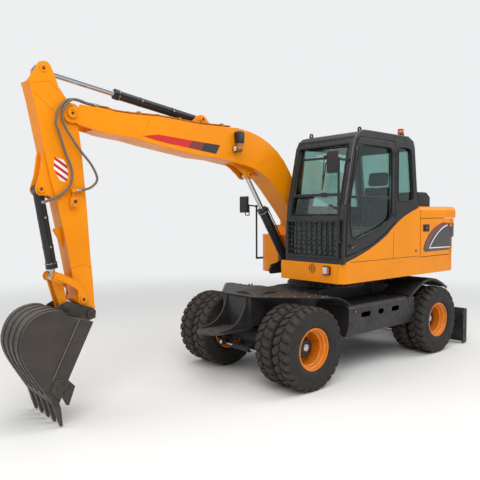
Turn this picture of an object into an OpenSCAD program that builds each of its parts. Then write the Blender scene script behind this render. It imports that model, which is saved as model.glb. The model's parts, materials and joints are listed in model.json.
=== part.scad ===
// Wheeled excavator of the 7.5 tonne class, parked with its bucket lowered in front.
// X points to the front, Y to the left and Z up. The origin is on the ground below
// the middle of the whole machine.

/* [Wheels and axles] */
// Distance between the front and the rear axle
wheelbase = 2400; // [2340:10:2480]
// Radius of a tyre at the tips of its lugs
tyre_r = 430; // [424:1:436]
// Width of a tyre's section
tyre_w = 216; // [206:1:222]
// Depth of the groove round the middle of the tread
groove_d = 16; // [10:1:20]
// Number of tread blocks in one row
tread_blocks = 24; // [20:2:28]
// Width of the slots between the tread blocks
slot_w = 26; // [20:1:30]
// Distance from the centre plane to the middle of an outer tyre
outer_tyre_y = 800; // [795:1:805]
// Distance between the two tyres of a twin wheel
twin_pitch = 255; // [240:1:262]
// Radius of the rim flanges
rim_r = 222; // [214:1:228]
// Radius of a wheel hub
hub_r = 105; // [95:1:112]
// Radius of the wheel spindles
spindle_r = 55; // [45:1:60]
// Distance from the centre plane to a kingpin
kingpin_y = 372; // [366:1:378]

/* [Chassis] */
// Height of the underside of the chassis beam
chassis_bottom_z = 605; // [600:1:620]
// Height of the top of the deck plate
deck_z = 930; // [915:1:940]
// Width of the chassis beam at the axles
beam_w = 460; // [420:2:470]
// Width of the chassis beam below the turntable
beam_mid_w = 700; // [640:5:760]
// Distance from the slewing axis to the front face of the chassis
chassis_front_x = 1470; // [1450:5:1500]
// Thickness of the deck plate and the fenders
fender_t = 10; // [6:1:14]
// Distance from the centre plane to the outer edge of the fenders
fender_y = 850; // [830:5:870]
// Radius of the rear fenders about the rear axle
rear_fender_r = 530; // [515:5:545]
// Distance from the centre plane to the face of the tool boxes
box_y = 820; // [800:5:850]
// Length of the tool boxes
box_len = 1300; // [1260:10:1310]

/* [Dozer blade] */
// Width of the dozer blade
blade_w = 1730; // [1650:10:1800]
// Height of the dozer blade
blade_h = 470; // [430:5:490]
// Clearance of the parked blade above the ground
blade_clear = 14; // [10:1:25]
// Distance from the slewing axis back to the blade's lower edge
blade_x = 1960; // [1920:5:1990]

/* [Upper structure] */
// Width of the upper structure over its side faces
upper_w = 1840; // [1820:5:1850]
// Height of the underside of the orange skirt
skirt_bottom_z = 1060; // [1055:1:1070]
// Height of the skirt
skirt_h = 210; // [200:5:220]
// Thickness of the body panels
panel_t = 25; // [20:1:30]
// Distance from the slewing axis to the front of the skirt
skirt_front_x = 800; // [790:5:815]
// Distance from the slewing axis back to the tail
tail_x = 1550; // [1520:5:1600]
// Height of the top of the engine hood
hood_z = 1895; // [1870:5:1920]
// Radius of the tail's corners
tail_corner_r = 120; // [80:5:150]

/* [Cab] */
// Distance from the centre plane to the inner side of the cab
cab_inner_y = 75; // [60:5:85]
// Height of the cab roof
cab_roof_z = 2710; // [2690:5:2740]
// Thickness of the cab's walls and pillars
cab_wall = 50; // [44:1:56]
// Thickness of the window glass
glass_t = 6; // [5:1:8]

/* [Working equipment] */
// Distance from the centre plane to the middle of the boom, to the right
boom_y = 200; // [196:1:204]
// Width of the boom
boom_w = 280; // [274:2:290]
// Width of the boom at its tip
tip_w = 230; // [224:2:240]
// Width of the dipper arm
arm_w = 180; // [172:2:184]
// Width of the bucket
bucket_w = 636; // [560:2:700]
// Thickness of the bucket's sheets
bucket_t = 16; // [12:1:24]
// Number of bucket teeth
teeth = 5; // [4:1:6]
// Radius of the main pins
pin_r = 30; // [26:1:34]
// Outer radius of the lift cylinder's barrel
lift_r = 55; // [50:1:58]
// Outer radius of the other barrels
barrel_r = 46; // [42:1:48]
// Radius of the piston rods
rod_r = 27; // [22:1:30]

/* [Fits] */
// Radial clearance of a pin in its bore
fit = 0.1; // [0.05:0.01:0.1]
// Gap between faces that are seated
seat = 0.3; // [0.2:0.05:0.4]
// Gap round doors, lids and moving plates
gap = 7; // [6:1:9]

/* [Hidden] */

$fn = 48;
ORANGE = [0.93, 0.5, 0.06];
BLACK = [0.13, 0.13, 0.14];
DARK = [0.2, 0.19, 0.19];
STEEL = [0.6, 0.6, 0.62];
RUBBER = [0.09, 0.09, 0.09];
GLASS = [0.5, 0.65, 0.65, 0.4];

front = 1;
rear = -1;
left = 1;
right = -1;
axle_x = wheelbase / 2;
axle_z = tyre_r;
inner_tyre_y = outer_tyre_y - twin_pitch;
disc_y = (outer_tyre_y + inner_tyre_y) / 2;
rim_half_w = 86;
rim_wall = 12;
rim_barrel_r = rim_r - 16;
disc_t = 20;
upper_y = upper_w / 2;
boom_mid = -boom_y;
skirt_top_z = skirt_bottom_z + skirt_h;
floor_z = skirt_top_z + 20;
rear_x = -tail_x;

// Pins of the working equipment as [x, z] in the plane of the boom
foot_pin = [130, 1330];
tip_pin = [3300, 2705];
lift_eye = [1165, 2262];
lift_base = [450, 1150];
crowd_base = [1840, 2810];
crowd_eye = [3536, 3062];
curl_base = [3575, 2030];
curl_eye = [3450, 1258];
rocker_pin = [3238, 1050];
link_pin = [3385, 985];
bucket_pin = [3160, 905];

// Pins of the dozer blade as [x, z]
blade_pin = [-1400, 420];
push_base = [-1480, 800];
push_eye = [-1850, 330];

// The bucket reaches furthest forward and the blade furthest back
bucket_front_x = 3848;
blade_back_x = -blade_x - 28;
frame_x = (bucket_front_x + blade_back_x) / 2;

// Places everything that is measured from the slewing axis
module at_frame() translate([-frame_x, 0, 0]) children();

// Points of a curve with the ends a and c that bends towards b
function bend(a, b, c, n = 6) =
    [for (i = [0:n]) let (t = i / n) (1 - t) * (1 - t) * a + 2 * t * (1 - t) * b + t * t * c];

// A list from its end to its start
function turned(q) = [for (i = [len(q) - 1:-1:0]) q[i]];

// Points of an arc in degrees about a centre
function arc(c, r, a0, a1, n = 8) =
    [for (i = [0:n]) let (a = a0 + (a1 - a0) * i / n) c + r * [cos(a), sin(a)]];

// A line of points moved to its left-hand side by t and turned round, to close a strip
function offset_line(p, t) = [for (i = [len(p) - 1:-1:0])
    let (a = p[max(i - 1, 0)], b = p[min(i + 1, len(p) - 1)], d = (b - a) / norm(b - a)) p[i] + t * [-d.y, d.x]];

// A plate standing along X, cut to an outline of [x, z] points, between two values of y
module plate(points, y0, y1)
    translate([0, y1, 0]) rotate([90, 0, 0]) linear_extrude(y1 - y0) polygon(points);

// A round bar along Y through [x, z]
module y_bar(p, r, y0, y1, fn = 48)
    translate([p.x, y1, p.y]) rotate([90, 0, 0]) cylinder(h = y1 - y0, r = r, $fn = fn);

// A round bar in the plane of y, between two [x, z] points, from one distance to another
module rod_along(a, b, y, r, d0, d1)
    translate([a.x, y, a.y]) rotate([0, 90 - atan2(b.y - a.y, b.x - a.x), 0])
        translate([0, 0, d0]) cylinder(h = d1 - d0, r = r);

// A round bar between two points in space
module stay(a, b, r) {
    d = b - a;
    translate(a) rotate([0, acos(d.z / norm(d)), atan2(d.y, d.x)]) cylinder(h = norm(d), r = r);
}

// A block between two corners
module block(a, b) translate(a) cube(b - a);

// A block with round corners seen from above
module round_block(a, b, r) {
    w = b - a;
    translate(a) difference() {
        cube(w);
        for (c = [[0, 0], [1, 0], [0, 1], [1, 1]])
            translate([c.x * w.x, c.y * w.y, -1]) difference() {
                translate([-r, -r, 0]) cube([2 * r, 2 * r, w.z + 2]);
                translate([c.x == 0 ? r : -r, c.y == 0 ? r : -r, -1]) cylinder(h = w.z + 4, r = r);
                translate([c.x == 0 ? r : -3 * r, -2 * r, -1]) cube([2 * r, 4 * r, w.z + 4]);
                translate([-2 * r, c.y == 0 ? r : -3 * r, -1]) cube([4 * r, 2 * r, w.z + 4]);
            }
    }
}

// A slot with round ends, cut through along Y
module y_slot(p, length, height, y0, y1) {
    r = height / 2;
    y_bar([p.x - length / 2 + r, p.y], r, y0, y1);
    y_bar([p.x + length / 2 - r, p.y], r, y0, y1);
    block([p.x - length / 2 + r, y0, p.y - r], [p.x + length / 2 - r, y1, p.y + r]);
}

// Chassis

// Front beam, wide middle below the turntable and rear beam, as half widths along x
beam_plan = [
    [chassis_front_x, beam_w / 2], [700, beam_w / 2], [520, beam_mid_w / 2],
    [-520, beam_mid_w / 2], [-700, beam_w / 2], [-1420, beam_w / 2]
];
pivot_lug_t = 40;
pivot_lug_y = 300;
turn_r = 455;

module chassis_frame() color(BLACK) at_frame() difference() {
    union() {
        translate([0, 0, chassis_bottom_z])
            linear_extrude(deck_z - fender_t - chassis_bottom_z)
                polygon(concat(beam_plan, [for (i = [len(beam_plan) - 1:-1:0]) [beam_plan[i].x, -beam_plan[i].y]]));
        translate([0, 0, deck_z - fender_t]) cylinder(h = fender_t + 20, r = turn_r + 25, $fn = 96);
        for (s = [left, right]) {
            // Lugs that carry the dozer blade
            plate([[-1180, chassis_bottom_z + 20], [-1420, chassis_bottom_z + 20], [-1460, 420], [-1400, 360],
                [-1340, 400]], s * pivot_lug_y - pivot_lug_t / 2, s * pivot_lug_y + pivot_lug_t / 2);
            block([-1420, min(s * beam_w / 2, s * pivot_lug_y), chassis_bottom_z],
                [-1180, max(s * beam_w / 2, s * (pivot_lug_y + pivot_lug_t / 2)), chassis_bottom_z + 60]);
            // Lugs of the blade's cylinder
            plate([[-1420, 880], [-1420, 720], [push_base.x - 20, push_base.y - 42],
                [push_base.x - 45, push_base.y], [push_base.x - 20, push_base.y + 42]],
                s * 58 - 12, s * 58 + 12);
        }
        y_bar(push_base, 26, -78, 78);
        for (s = [left, right])
            y_bar(blade_pin, pin_r, s * pivot_lug_y - 75, s * pivot_lug_y + 75);
    }
}

// Front bracket: two plates with a hollow front edge on a foot plate
bracket_plate_y = 165;
foot_z = 575;
tow_r = 22;
module front_bracket() color(BLACK) at_frame() {
    x0 = chassis_front_x + seat;
    edge = bend([1495, deck_z - 20], [1530, 600], [1850, foot_z + 12]);
    for (s = [left, right])
        plate(concat([[x0, foot_z], [x0, deck_z - 20]], edge, [[1850, foot_z]]),
            s * bracket_plate_y - 10, s * bracket_plate_y + 10);
    block([x0, -bracket_plate_y - 30, foot_z - 18], [1780, bracket_plate_y + 30, foot_z]);
    translate([1780, 0, foot_z - 18]) difference() {
        cylinder(h = 18, r = bracket_plate_y + 30, $fn = 72);
        block([-400, -400, -1], [-10, 400, 30]);
        translate([60, 0, -1]) cylinder(h = 20, r = tow_r);
    }
    block([x0, -beam_w / 2, foot_z], [x0 + 14, beam_w / 2, deck_z - 20]);
}

// Deck plate with slanted front corners, turned down over the front wheels
deck_corner_x = 950;
module front_fenders() color(BLACK) at_frame() {
    z = deck_z - fender_t;
    difference() {
        translate([0, 0, z]) linear_extrude(fender_t) polygon([
            [chassis_front_x + 25, beam_w / 2 + 20], [deck_corner_x, fender_y], [860, fender_y],
            [860, beam_w / 2], [-500, beam_mid_w / 2 + 40], [-500, -beam_mid_w / 2 - 40],
            [860, -beam_w / 2], [860, -fender_y], [deck_corner_x, -fender_y],
            [chassis_front_x + 25, -beam_w / 2 - 20]]);
        translate([0, 0, z - 1]) cylinder(h = fender_t + 2, r = turn_r + 25 + seat, $fn = 96);
    }
    // Curved rear parts of the front fenders, down to the tool boxes
    outer = concat([[880, deck_z]], bend([860, deck_z], [660, deck_z - 30], [560, 800], 5));
    inner = concat(bend([560 + 12, 800], [668, deck_z - 40], [860, z], 5), [[880, z]]);
    for (s = [left, right])
        plate(concat(outer, inner), min(s * 430, s * fender_y), max(s * 430, s * fender_y));
    // Low hump over the front axle's pivot, with two pipe stubs
    intersection() {
        translate([1180, 0, deck_z - 380]) rotate([0, 0, 0]) sphere(r = 450, $fn = 64);
        block([1000, -205, deck_z], [1380, 205, deck_z + 80]);
    }
    for (dx = [0, 42])
        translate([1120 + dx, -150, deck_z - fender_t / 2]) cylinder(h = 78, r = 9);
}

fender_line = [[-612, 798], [-660, 836], [-800, 910], [-900, 951], [-1000, 974], [-1100, 978], [-1211, 958],
    [-1350, 904], [-1487, 834]];
module rear_fenders() color(BLACK) at_frame() for (s = [left, right]) {
    plate(concat(fender_line, offset_line(fender_line, fender_t)),
        min(s * 440, s * fender_y), max(s * 440, s * fender_y));
    // Rolled outer edge
    plate(concat(fender_line, offset_line(fender_line, 32)),
        min(s * (fender_y - 8), s * fender_y), max(s * (fender_y - 8), s * fender_y));
    // Bracket from the chassis beam
    for (x = [-1290, -990])
        block([x - 20, min(s * (beam_w / 2 + seat), s * 445), 860], [x + 20, max(s * (beam_w / 2 + seat), s * 445), 925]);
}

// Tool boxes between the wheels, with a slanted foot and three slots through the face
box_front_x = 560;
box_top_z = 785;
box_bottom_z = 445;
box_t = 12;
module tool_boxes() color(DARK) at_frame() {
    xb = box_front_x - box_len;
    for (s = [left, right]) mirror([0, s == left ? 0 : 1, 0]) {
        difference() {
            // Outline seen from the front as [y, z]
            translate([xb, 0, 0]) rotate([90, 0, 90]) linear_extrude(box_len) polygon([
                [380, box_top_z], [box_y - 30, box_top_z], [box_y, box_top_z - 30], [box_y, 580],
                [box_y - 45, box_bottom_z], [430, box_bottom_z], [380, 520]]);
            translate([xb + box_t, 0, 0]) rotate([90, 0, 90]) linear_extrude(box_len - 2 * box_t) polygon([
                [380 + box_t, box_top_z - box_t], [box_y - 34, box_top_z - box_t],
                [box_y - box_t, box_top_z - 36], [box_y - box_t, 582], [box_y - 54, box_bottom_z + box_t],
                [436, box_bottom_z + box_t], [380 + box_t, 524]]);
            for (q = [[250, 180], [-40, 110], [-330, 160]])
                y_slot([q.x, 670], q.y, 60, box_y - 80, box_y + 5);
        }
        // Consoles that hang the box on the chassis
        for (x = [-380, 280])
            block([x - 30, beam_mid_w / 2 + seat, 640], [x + 30, 380 - seat, 740]);
    }
}

module swing_bearing() color(STEEL) at_frame()
    translate([0, 0, deck_z + 20 + seat]) difference() {
        cylinder(h = 45, r = turn_r, $fn = 96);
        translate([0, 0, -1]) cylinder(h = 50, r = turn_r - 75, $fn = 96);
    }

// Axles

boss_half_h = 85;
jaw_t = 28;
kingpin_r = 24;
module axle_beam(end_y) {
    // Housing along Y as [radius, y], with the differential in the middle
    half = [[150, 26], [136, 78], [100, 130], [80, 200], [66, end_y]];
    rotate([-90, 0, 0]) rotate([0, 0, 40]) rotate_extrude($fn = 64)
        polygon(concat([[0, -end_y]], [for (i = [4:-1:0]) [half[i].x, -half[i].y]], half, [[0, end_y]]));
    // Nose of the differential towards the middle of the machine
    rotate([0, -90, 0]) rotate([0, 0, 17]) cylinder(h = 235, r1 = 105, r2 = 62, $fn = 64);
}

module front_axle() color(BLACK) at_frame() translate([axle_x, 0, axle_z]) {
    difference() {
        union() {
            axle_beam(kingpin_y - 40);
            for (s = [left, right])
                translate([0, s * kingpin_y, -boss_half_h]) cylinder(h = 2 * boss_half_h, r = 52);
        }
        for (s = [left, right])
            translate([0, s * kingpin_y, -boss_half_h - 1]) cylinder(h = 2 * boss_half_h + 2, r = kingpin_r + fit);
    }
    // Pivot block up to the chassis beam
    for (s = [front, rear]) block([s * 70 - 22, -60, 115], [s * 70 + 22, 60, chassis_bottom_z - axle_z - seat]);
    // Steering cylinder in front of the axle
    translate([steer_x, 0, steer_z]) difference() {
        union() {
            rotate([90, 0, 0]) translate([0, 0, -130]) cylinder(h = 260, r = 38);
            for (s = [left, right]) block([-steer_x + 55, s * 90 - 15, -20], [0, s * 90 + 15, 20]);
        }
        rotate([90, 0, 0]) translate([0, 0, -131]) cylinder(h = 262, r = steer_rod_r + fit);
    }
}
steer_x = 205;
steer_z = -(boss_half_h + seat + jaw_t / 2);
steer_rod_r = 16;

// Rod of the steering cylinder, whose eyes stand in the forks of the knuckle arms
module steer_rod() color(STEEL) at_frame() translate([axle_x + steer_x, 0, axle_z + steer_z]) {
    rotate([90, 0, 0]) translate([0, 0, -kingpin_y]) cylinder(h = 2 * kingpin_y, r = steer_rod_r);
    for (s = [left, right]) translate([0, s * kingpin_y, -17]) cylinder(h = 34, r = 28);
}

module rear_axle() color(BLACK) at_frame() translate([-axle_x, 0, axle_z]) {
    mirror([1, 0, 0]) axle_beam(hub_in_y - 5);
    for (s = [left, right]) {
        rotate([s * -90, 0, 0]) translate([0, 0, hub_in_y - 20]) cylinder(h = spindle_len, r = spindle_r);
        // Flange against the wheel hub
        rotate([s * -90, 0, 0]) translate([0, 0, hub_in_y - 60]) cylinder(h = 60 - seat, r = 90);
        block([-60, s * 205 - 30, 40], [60, s * 205 + 30, chassis_bottom_z - axle_z - seat]);
    }
}
hub_in_y = 560;
spindle_len = disc_y + 70 - hub_in_y;

module drive_line() color(DARK) at_frame() {
    // Gearbox below the turntable with its motor
    round_block([-190, -150, 360], [190, 150, 560], 40);
    block([-100, -90, 560], [100, 90, chassis_bottom_z - seat]);
    translate([-190, 0, 460]) rotate([0, -90, 0]) cylinder(h = 190, r = 75);
    // Shafts with their joints
    for (s = [front, rear]) {
        x0 = 180 + (s == rear ? 190 : 0);
        x1 = axle_x - 235 - seat;
        a = [s * x0, 450];
        b = [s * x1, axle_z];
        len = norm(b - a);
        rod_along(a, b, 0, 32, 0, len - 20);
        translate([s * (x1 - 35), 0, axle_z]) rotate([0, s * 90, 0]) cylinder(h = 35, r = 62);
    }
}

// Steering knuckle: a jaw round the axle's boss, carrying the spindle
module knuckle(s) color(DARK) at_frame() translate([axle_x, 0, axle_z]) mirror([0, s == left ? 0 : 1, 0]) {
    j = boss_half_h + seat;
    translate([0, kingpin_y, -j - jaw_t]) cylinder(h = 2 * (j + jaw_t), r = kingpin_r);
    for (k = [-j - jaw_t, j]) {
        translate([0, kingpin_y, k]) cylinder(h = jaw_t, r = 50);
        block([-50, kingpin_y, k], [50, kingpin_y + 90, k + jaw_t]);
    }
    block([-50, kingpin_y + 62, -j - jaw_t], [50, kingpin_y + 90, j + jaw_t]);
    rotate([-90, 0, 0]) {
        translate([0, 0, kingpin_y + 80]) cylinder(h = hub_in_y - seat - kingpin_y - 80, r = 90);
        translate([0, 0, hub_in_y - 20]) cylinder(h = spindle_len, r = spindle_r);
    }
    // Steering arm with the wide fork for the rod's eye
    translate([0, kingpin_y, steer_z]) {
        block([30, -26, -jaw_t / 2], [75, 26, jaw_t / 2]);
        block([75, -26, -36], [105, 26, 36]);
        for (k = [-36, 22]) {
            block([75, -26, k], [steer_x, 26, k + 14]);
            translate([steer_x, 0, k]) cylinder(h = 14, r = 26);
        }
    }
}
module knuckle_left() knuckle(left);
module knuckle_right() knuckle(right);

// Wheels

// Half section of a tyre as [distance from its middle, radius]
function tyre_section() = let (w = tyre_w / 2, r0 = rim_barrel_r + seat, b = rim_half_w - 8 - seat)
    concat([[0, r0], [b, r0], [b, rim_r + seat]],
        bend([b + 10, rim_r + 6], [w + 10, rim_r + 30], [w, (tyre_r + rim_r) / 2 + 10], 3),
        [[w - 2, tyre_r - 34], [w - 14, tyre_r - 8], [w - 40, tyre_r], [12, tyre_r], [8, tyre_r - groove_d], [0, tyre_r - groove_d]]);

module tyre() {
    half = tyre_section();
    difference() {
        rotate_extrude($fn = 96) polygon(concat([for (q = half) [q.y, q.x]],
            [for (i = [len(half) - 2:-1:1]) [half[i].y, -half[i].x]]));
        // Slots between the blocks of each row
        for (k = [0, 1], i = [0:tread_blocks - 1]) mirror([0, 0, k])
            rotate([0, 0, (i + k / 2) * 360 / tread_blocks]) translate([tyre_r - groove_d, 0, 30]) rotate([20, 0, 0])
                translate([0, -slot_w / 2, 0]) cube([40, slot_w, tyre_w]);
    }
}

// Both tyres of one twin wheel
module tyres(fx, s) color(RUBBER) at_frame() translate([fx * axle_x, 0, axle_z]) rotate([s * -90, 0, 0])
    for (y = [inner_tyre_y, outer_tyre_y]) translate([0, 0, y]) tyre();

// Twin rims on one disc, and the hub
module wheel(fx, s) translate([fx * axle_x, 0, axle_z]) rotate([s * -90, 0, 0]) {
    r1 = rim_barrel_r;
    r0 = r1 - rim_wall;
    f = 8;
    color(ORANGE) difference() {
        rotate_extrude($fn = 96) polygon([
            [hub_r + 30, disc_y - disc_t / 2], [r0, disc_y - disc_t / 2],
            [r0, inner_tyre_y - rim_half_w], [rim_r, inner_tyre_y - rim_half_w],
            [rim_r, inner_tyre_y - rim_half_w + f], [r1, inner_tyre_y - rim_half_w + f],
            [r1, inner_tyre_y + rim_half_w - f], [rim_r, inner_tyre_y + rim_half_w - f],
            [rim_r, inner_tyre_y + rim_half_w], [r1, inner_tyre_y + rim_half_w],
            [r1, outer_tyre_y - rim_half_w], [rim_r, outer_tyre_y - rim_half_w],
            [rim_r, outer_tyre_y - rim_half_w + f], [r1, outer_tyre_y - rim_half_w + f],
            [r1, outer_tyre_y + rim_half_w - f], [rim_r, outer_tyre_y + rim_half_w - f],
            [rim_r, outer_tyre_y + rim_half_w], [r0, outer_tyre_y + rim_half_w],
            [r0, disc_y + disc_t / 2], [hub_r + 30, disc_y + disc_t / 2]]);
    }
    color(BLACK) difference() {
        union() {
            translate([0, 0, hub_in_y]) cylinder(h = disc_y + 96 - hub_in_y, r = hub_r - 8);
            translate([0, 0, disc_y - disc_t / 2]) cylinder(h = disc_t, r = hub_r + 30);
            translate([0, 0, disc_y + disc_t / 2]) cylinder(h = 60, r = hub_r);
            translate([0, 0, disc_y + 96]) cylinder(h = 12, r = 42);
        }
        translate([0, 0, hub_in_y - 1]) cylinder(h = spindle_len - 18, r = spindle_r + fit);
    }
}

module tyres_fl() tyres(front, left);
module tyres_fr() tyres(front, right);
module tyres_rl() tyres(rear, left);
module tyres_rr() tyres(rear, right);
module wheel_fl() at_frame() wheel(front, left);
module wheel_fr() at_frame() wheel(front, right);
module wheel_rl() at_frame() wheel(rear, left);
module wheel_rr() at_frame() wheel(rear, right);

// Dozer blade with a curved face, on two arms
module dozer_blade() color(BLACK) at_frame() {
    z0 = blade_clear;
    z1 = z0 + blade_h;
    xe = -blade_x;
    // Mouldboard, hollow towards the rear
    plate(concat(bend([xe - 28, z0], [xe + 90, (z0 + z1) / 2], [xe - 28, z1], 8),
        bend([xe - 6, z1], [xe + 112, (z0 + z1) / 2], [xe - 6, z0], 8)), -blade_w / 2, blade_w / 2);
    for (s = [left, right]) {
        // End cheeks
        plate([[xe - 28, z0], [xe + 70, z0], [xe + 70, z1 - 60], [xe + 10, z1], [xe - 28, z1]],
            s * blade_w / 2 - 10, s * blade_w / 2 + 10);
        // Push arms from the pivots
        difference() {
            y0 = pivot_lug_y - pivot_lug_t / 2 - seat - 46;
            union() {
                plate([[xe + 25, 130], [xe + 25, 330], [-1640, 400], [-1420, 478], [-1350, 450], [-1350, 380],
                    [-1420, 358], [-1640, 250]], s > 0 ? y0 : -y0 - 46, s > 0 ? y0 + 46 : -y0);
            }
            y_bar(blade_pin, pin_r + fit, -500, 500);
        }
    }
    // Ribs on the side of the machine
    for (y = [-640, -420, 420, 640])
        plate([[xe, z0 + 20], [xe, z1 - 20], [xe + 20, z1 - 20], [xe + 78, (z0 + z1) / 2 + 30], [xe + 78, (z0 + z1) / 2 - 30],
            [xe + 20, z0 + 20]], y - 7, y + 7);
    // Cross tube between the arms
    y_bar([-1700, 310], 45, -pivot_lug_y + 40, pivot_lug_y - 40);
    // Lugs for the rod's eye
    for (s = [left, right])
        plate([[xe + 25, 200], [xe + 25, 420], [push_eye.x - 35, push_eye.y + 48],
            [push_eye.x + 48, push_eye.y + 30], [push_eye.x + 48, push_eye.y - 30], [push_eye.x, 240]],
            s * 50 - 10, s * 50 + 10);
}

// A cylinder barrel with its base eye, and a rod with its eye
module cyl_barrel(base, eye, y, gland, r, eye_r, eye_w, bore) {
    difference() {
        union() {
            rod_along(base, eye, y, r, eye_r - 14, gland - 55);
            rod_along(base, eye, y, r + 6, gland - 55, gland);
            y_bar(base, eye_r, y - eye_w / 2, y + eye_w / 2);
        }
        y_bar(base, bore, y - eye_w, y + eye_w);
        rod_along(base, eye, y, r - 9, eye_r + 12, gland + 1);
    }
}
module cyl_rod(base, eye, y, start, r, eye_r, eye_w, head_r) {
    l = norm(eye - base);
    rod_along(base, eye, y, r, start, l - eye_r + 8);
    y_bar(eye, eye_r, y - eye_w / 2, y + eye_w / 2);
    rod_along(base, eye, y, head_r, start, start + 30);
}

push_gland = 400;
module blade_barrel() color(BLACK) at_frame()
    cyl_barrel(push_base, push_eye, 0, push_gland, 42, 45, 78, 26 + fit);
module blade_rod() color(STEEL) at_frame()
    cyl_rod(push_base, push_eye, 0, push_gland - 205, 22, 38, 76, 42 - 9 - fit);

// Upper structure

bay_front_x = -700;
door_front_x = -712;
door_rear_x = -1425;
cw_top_z = 1500;
module upper_frame() color(DARK) at_frame() {
    // Turntable plate and the platform
    translate([0, 0, deck_z + 65 + 2 * seat]) cylinder(h = skirt_bottom_z - deck_z - 65, r = turn_r - 15, $fn = 96);
    translate([0, 0, skirt_bottom_z]) linear_extrude(platform_t) skirt_outline(panel_t + seat);
    // Boom foot: two tall plates
    for (s = [left, right]) plate([[-330, skirt_bottom_z + 5], [620, skirt_bottom_z + 5], [640, 1110], [610, 1180], [500, 1200],
        [250, 1390], [130, 1440], [20, 1400], [-330, 1180]],
        boom_mid + s * foot_plate_y - 14, boom_mid + s * foot_plate_y + 14);
    // Bulkhead between the cab and the engine bay
    block([bay_front_x + 6, -upper_y + 60, skirt_bottom_z + 5], [bay_front_x + 26, upper_y - 60, hood_z - 90]);
    // Longitudinal beams
    for (q = [[-520, 380], [480, 700]])
        block([rear_x + 400, q[0] - 40, skirt_bottom_z + 5], [q[1], q[0] + 40, skirt_bottom_z + 130]);
    // Hinge pins of the hood on their posts
    for (y = [-620, 300]) {
        y_bar([hood_hinge_x, hood_hinge_z], 7, y - 12, y + 72);
        for (k = [-12, 62]) block([hood_hinge_x + 2, y + k, hood_z - 140], [hood_hinge_x + 16, y + k + 10, hood_hinge_z + 8]);
    }
    // Foot pin and lift cylinder pin
    y_bar(foot_pin, foot_pin_r, boom_mid - foot_plate_y - 24, boom_mid + foot_plate_y + 24);
    y_bar(lift_base, 28, boom_mid - foot_plate_y - 24, boom_mid + foot_plate_y + 24);
}
platform_t = 30;
foot_pin_r = pin_r + 8;
foot_plate_y = 160;
right_front_x = 420;
right_corner_r = 340;

// Skirt round the platform: straight at the cab, round at the right front corner
module skirt_outline(inset) {
    o = inset;
    y = upper_y - o;
    r = tail_corner_r - o;
    f = skirt_front_x - o;
    rf = right_front_x - o;
    c = right_corner_r - o;
    polygon(concat(
        [[f - 55, y], [f, y - 55]],
        [[f, 10 + o], [rf, 10 + o - (o > 0 ? 2 * o : 0)]],
        arc([rf - c, -y + c], c, 0, -90, 10),
        arc([rear_x + o + r, -y + r], r, -90, -180, 6),
        arc([rear_x + o + r, y - r], r, 180, 90, 6)));
}
module skirt() color(ORANGE) at_frame() difference() {
    translate([0, 0, skirt_bottom_z]) linear_extrude(skirt_h) skirt_outline(0);
    translate([0, 0, skirt_bottom_z - 1]) linear_extrude(skirt_h + 2) skirt_outline(panel_t);
    // Open front at the boom foot
    block([right_front_x - panel_t - 200, boom_mid - foot_plate_y - 60, skirt_bottom_z - 1],
        [skirt_front_x - panel_t - 5, boom_mid + foot_plate_y + 60, skirt_top_z + 1]);
}

// Left side panel under the door line, with its rising curve
side_curve = concat(bend([740, 1290], [330, 1385], [0, 1560], 4), bend([-110, 1640], [-340, 1800], [-694, 1885], 4));
module side_panel() color(ORANGE) at_frame()
    plate(concat([[740, skirt_top_z + seat], [740, 1290]], side_curve, [[-694, skirt_top_z + seat]]),
        upper_y - panel_t, upper_y);

module counterweight() color(ORANGE) at_frame() {
    z0 = skirt_top_z + seat;
    difference() {
        round_block([rear_x, -upper_y, z0], [rear_x + 300, upper_y, cw_top_z], tail_corner_r);
        for (s = [left, right])
            block([door_rear_x - 2, min(s * (upper_y - 90), s * (upper_y + 5)), z0 - 1],
                [rear_x + 301, max(s * (upper_y - 90), s * (upper_y + 5)), cw_top_z + 1]);
        block([rear_x + 130, -upper_y + 200, z0 - 1], [rear_x + 301, upper_y - 200, cw_top_z + 1]);
    }
    // Corner posts up to the hood
    for (s = [left, right]) {
        difference() {
            round_block([rear_x, min(s * (upper_y - 150), s * upper_y), cw_top_z],
                [door_rear_x - 2, max(s * (upper_y - 150), s * upper_y), hood_z - 150], 60);
            block([rear_x + 60, min(s * (upper_y - 151), s * (upper_y - 60)), cw_top_z - 1],
                [door_rear_x, max(s * (upper_y - 151), s * (upper_y - 60)), hood_z]);
        }
    }
}

module engine_block() color(DARK) at_frame()
    round_block([-1290, -330, skirt_bottom_z + 30 + seat], [-760, 330, 1760], 40);

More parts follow.
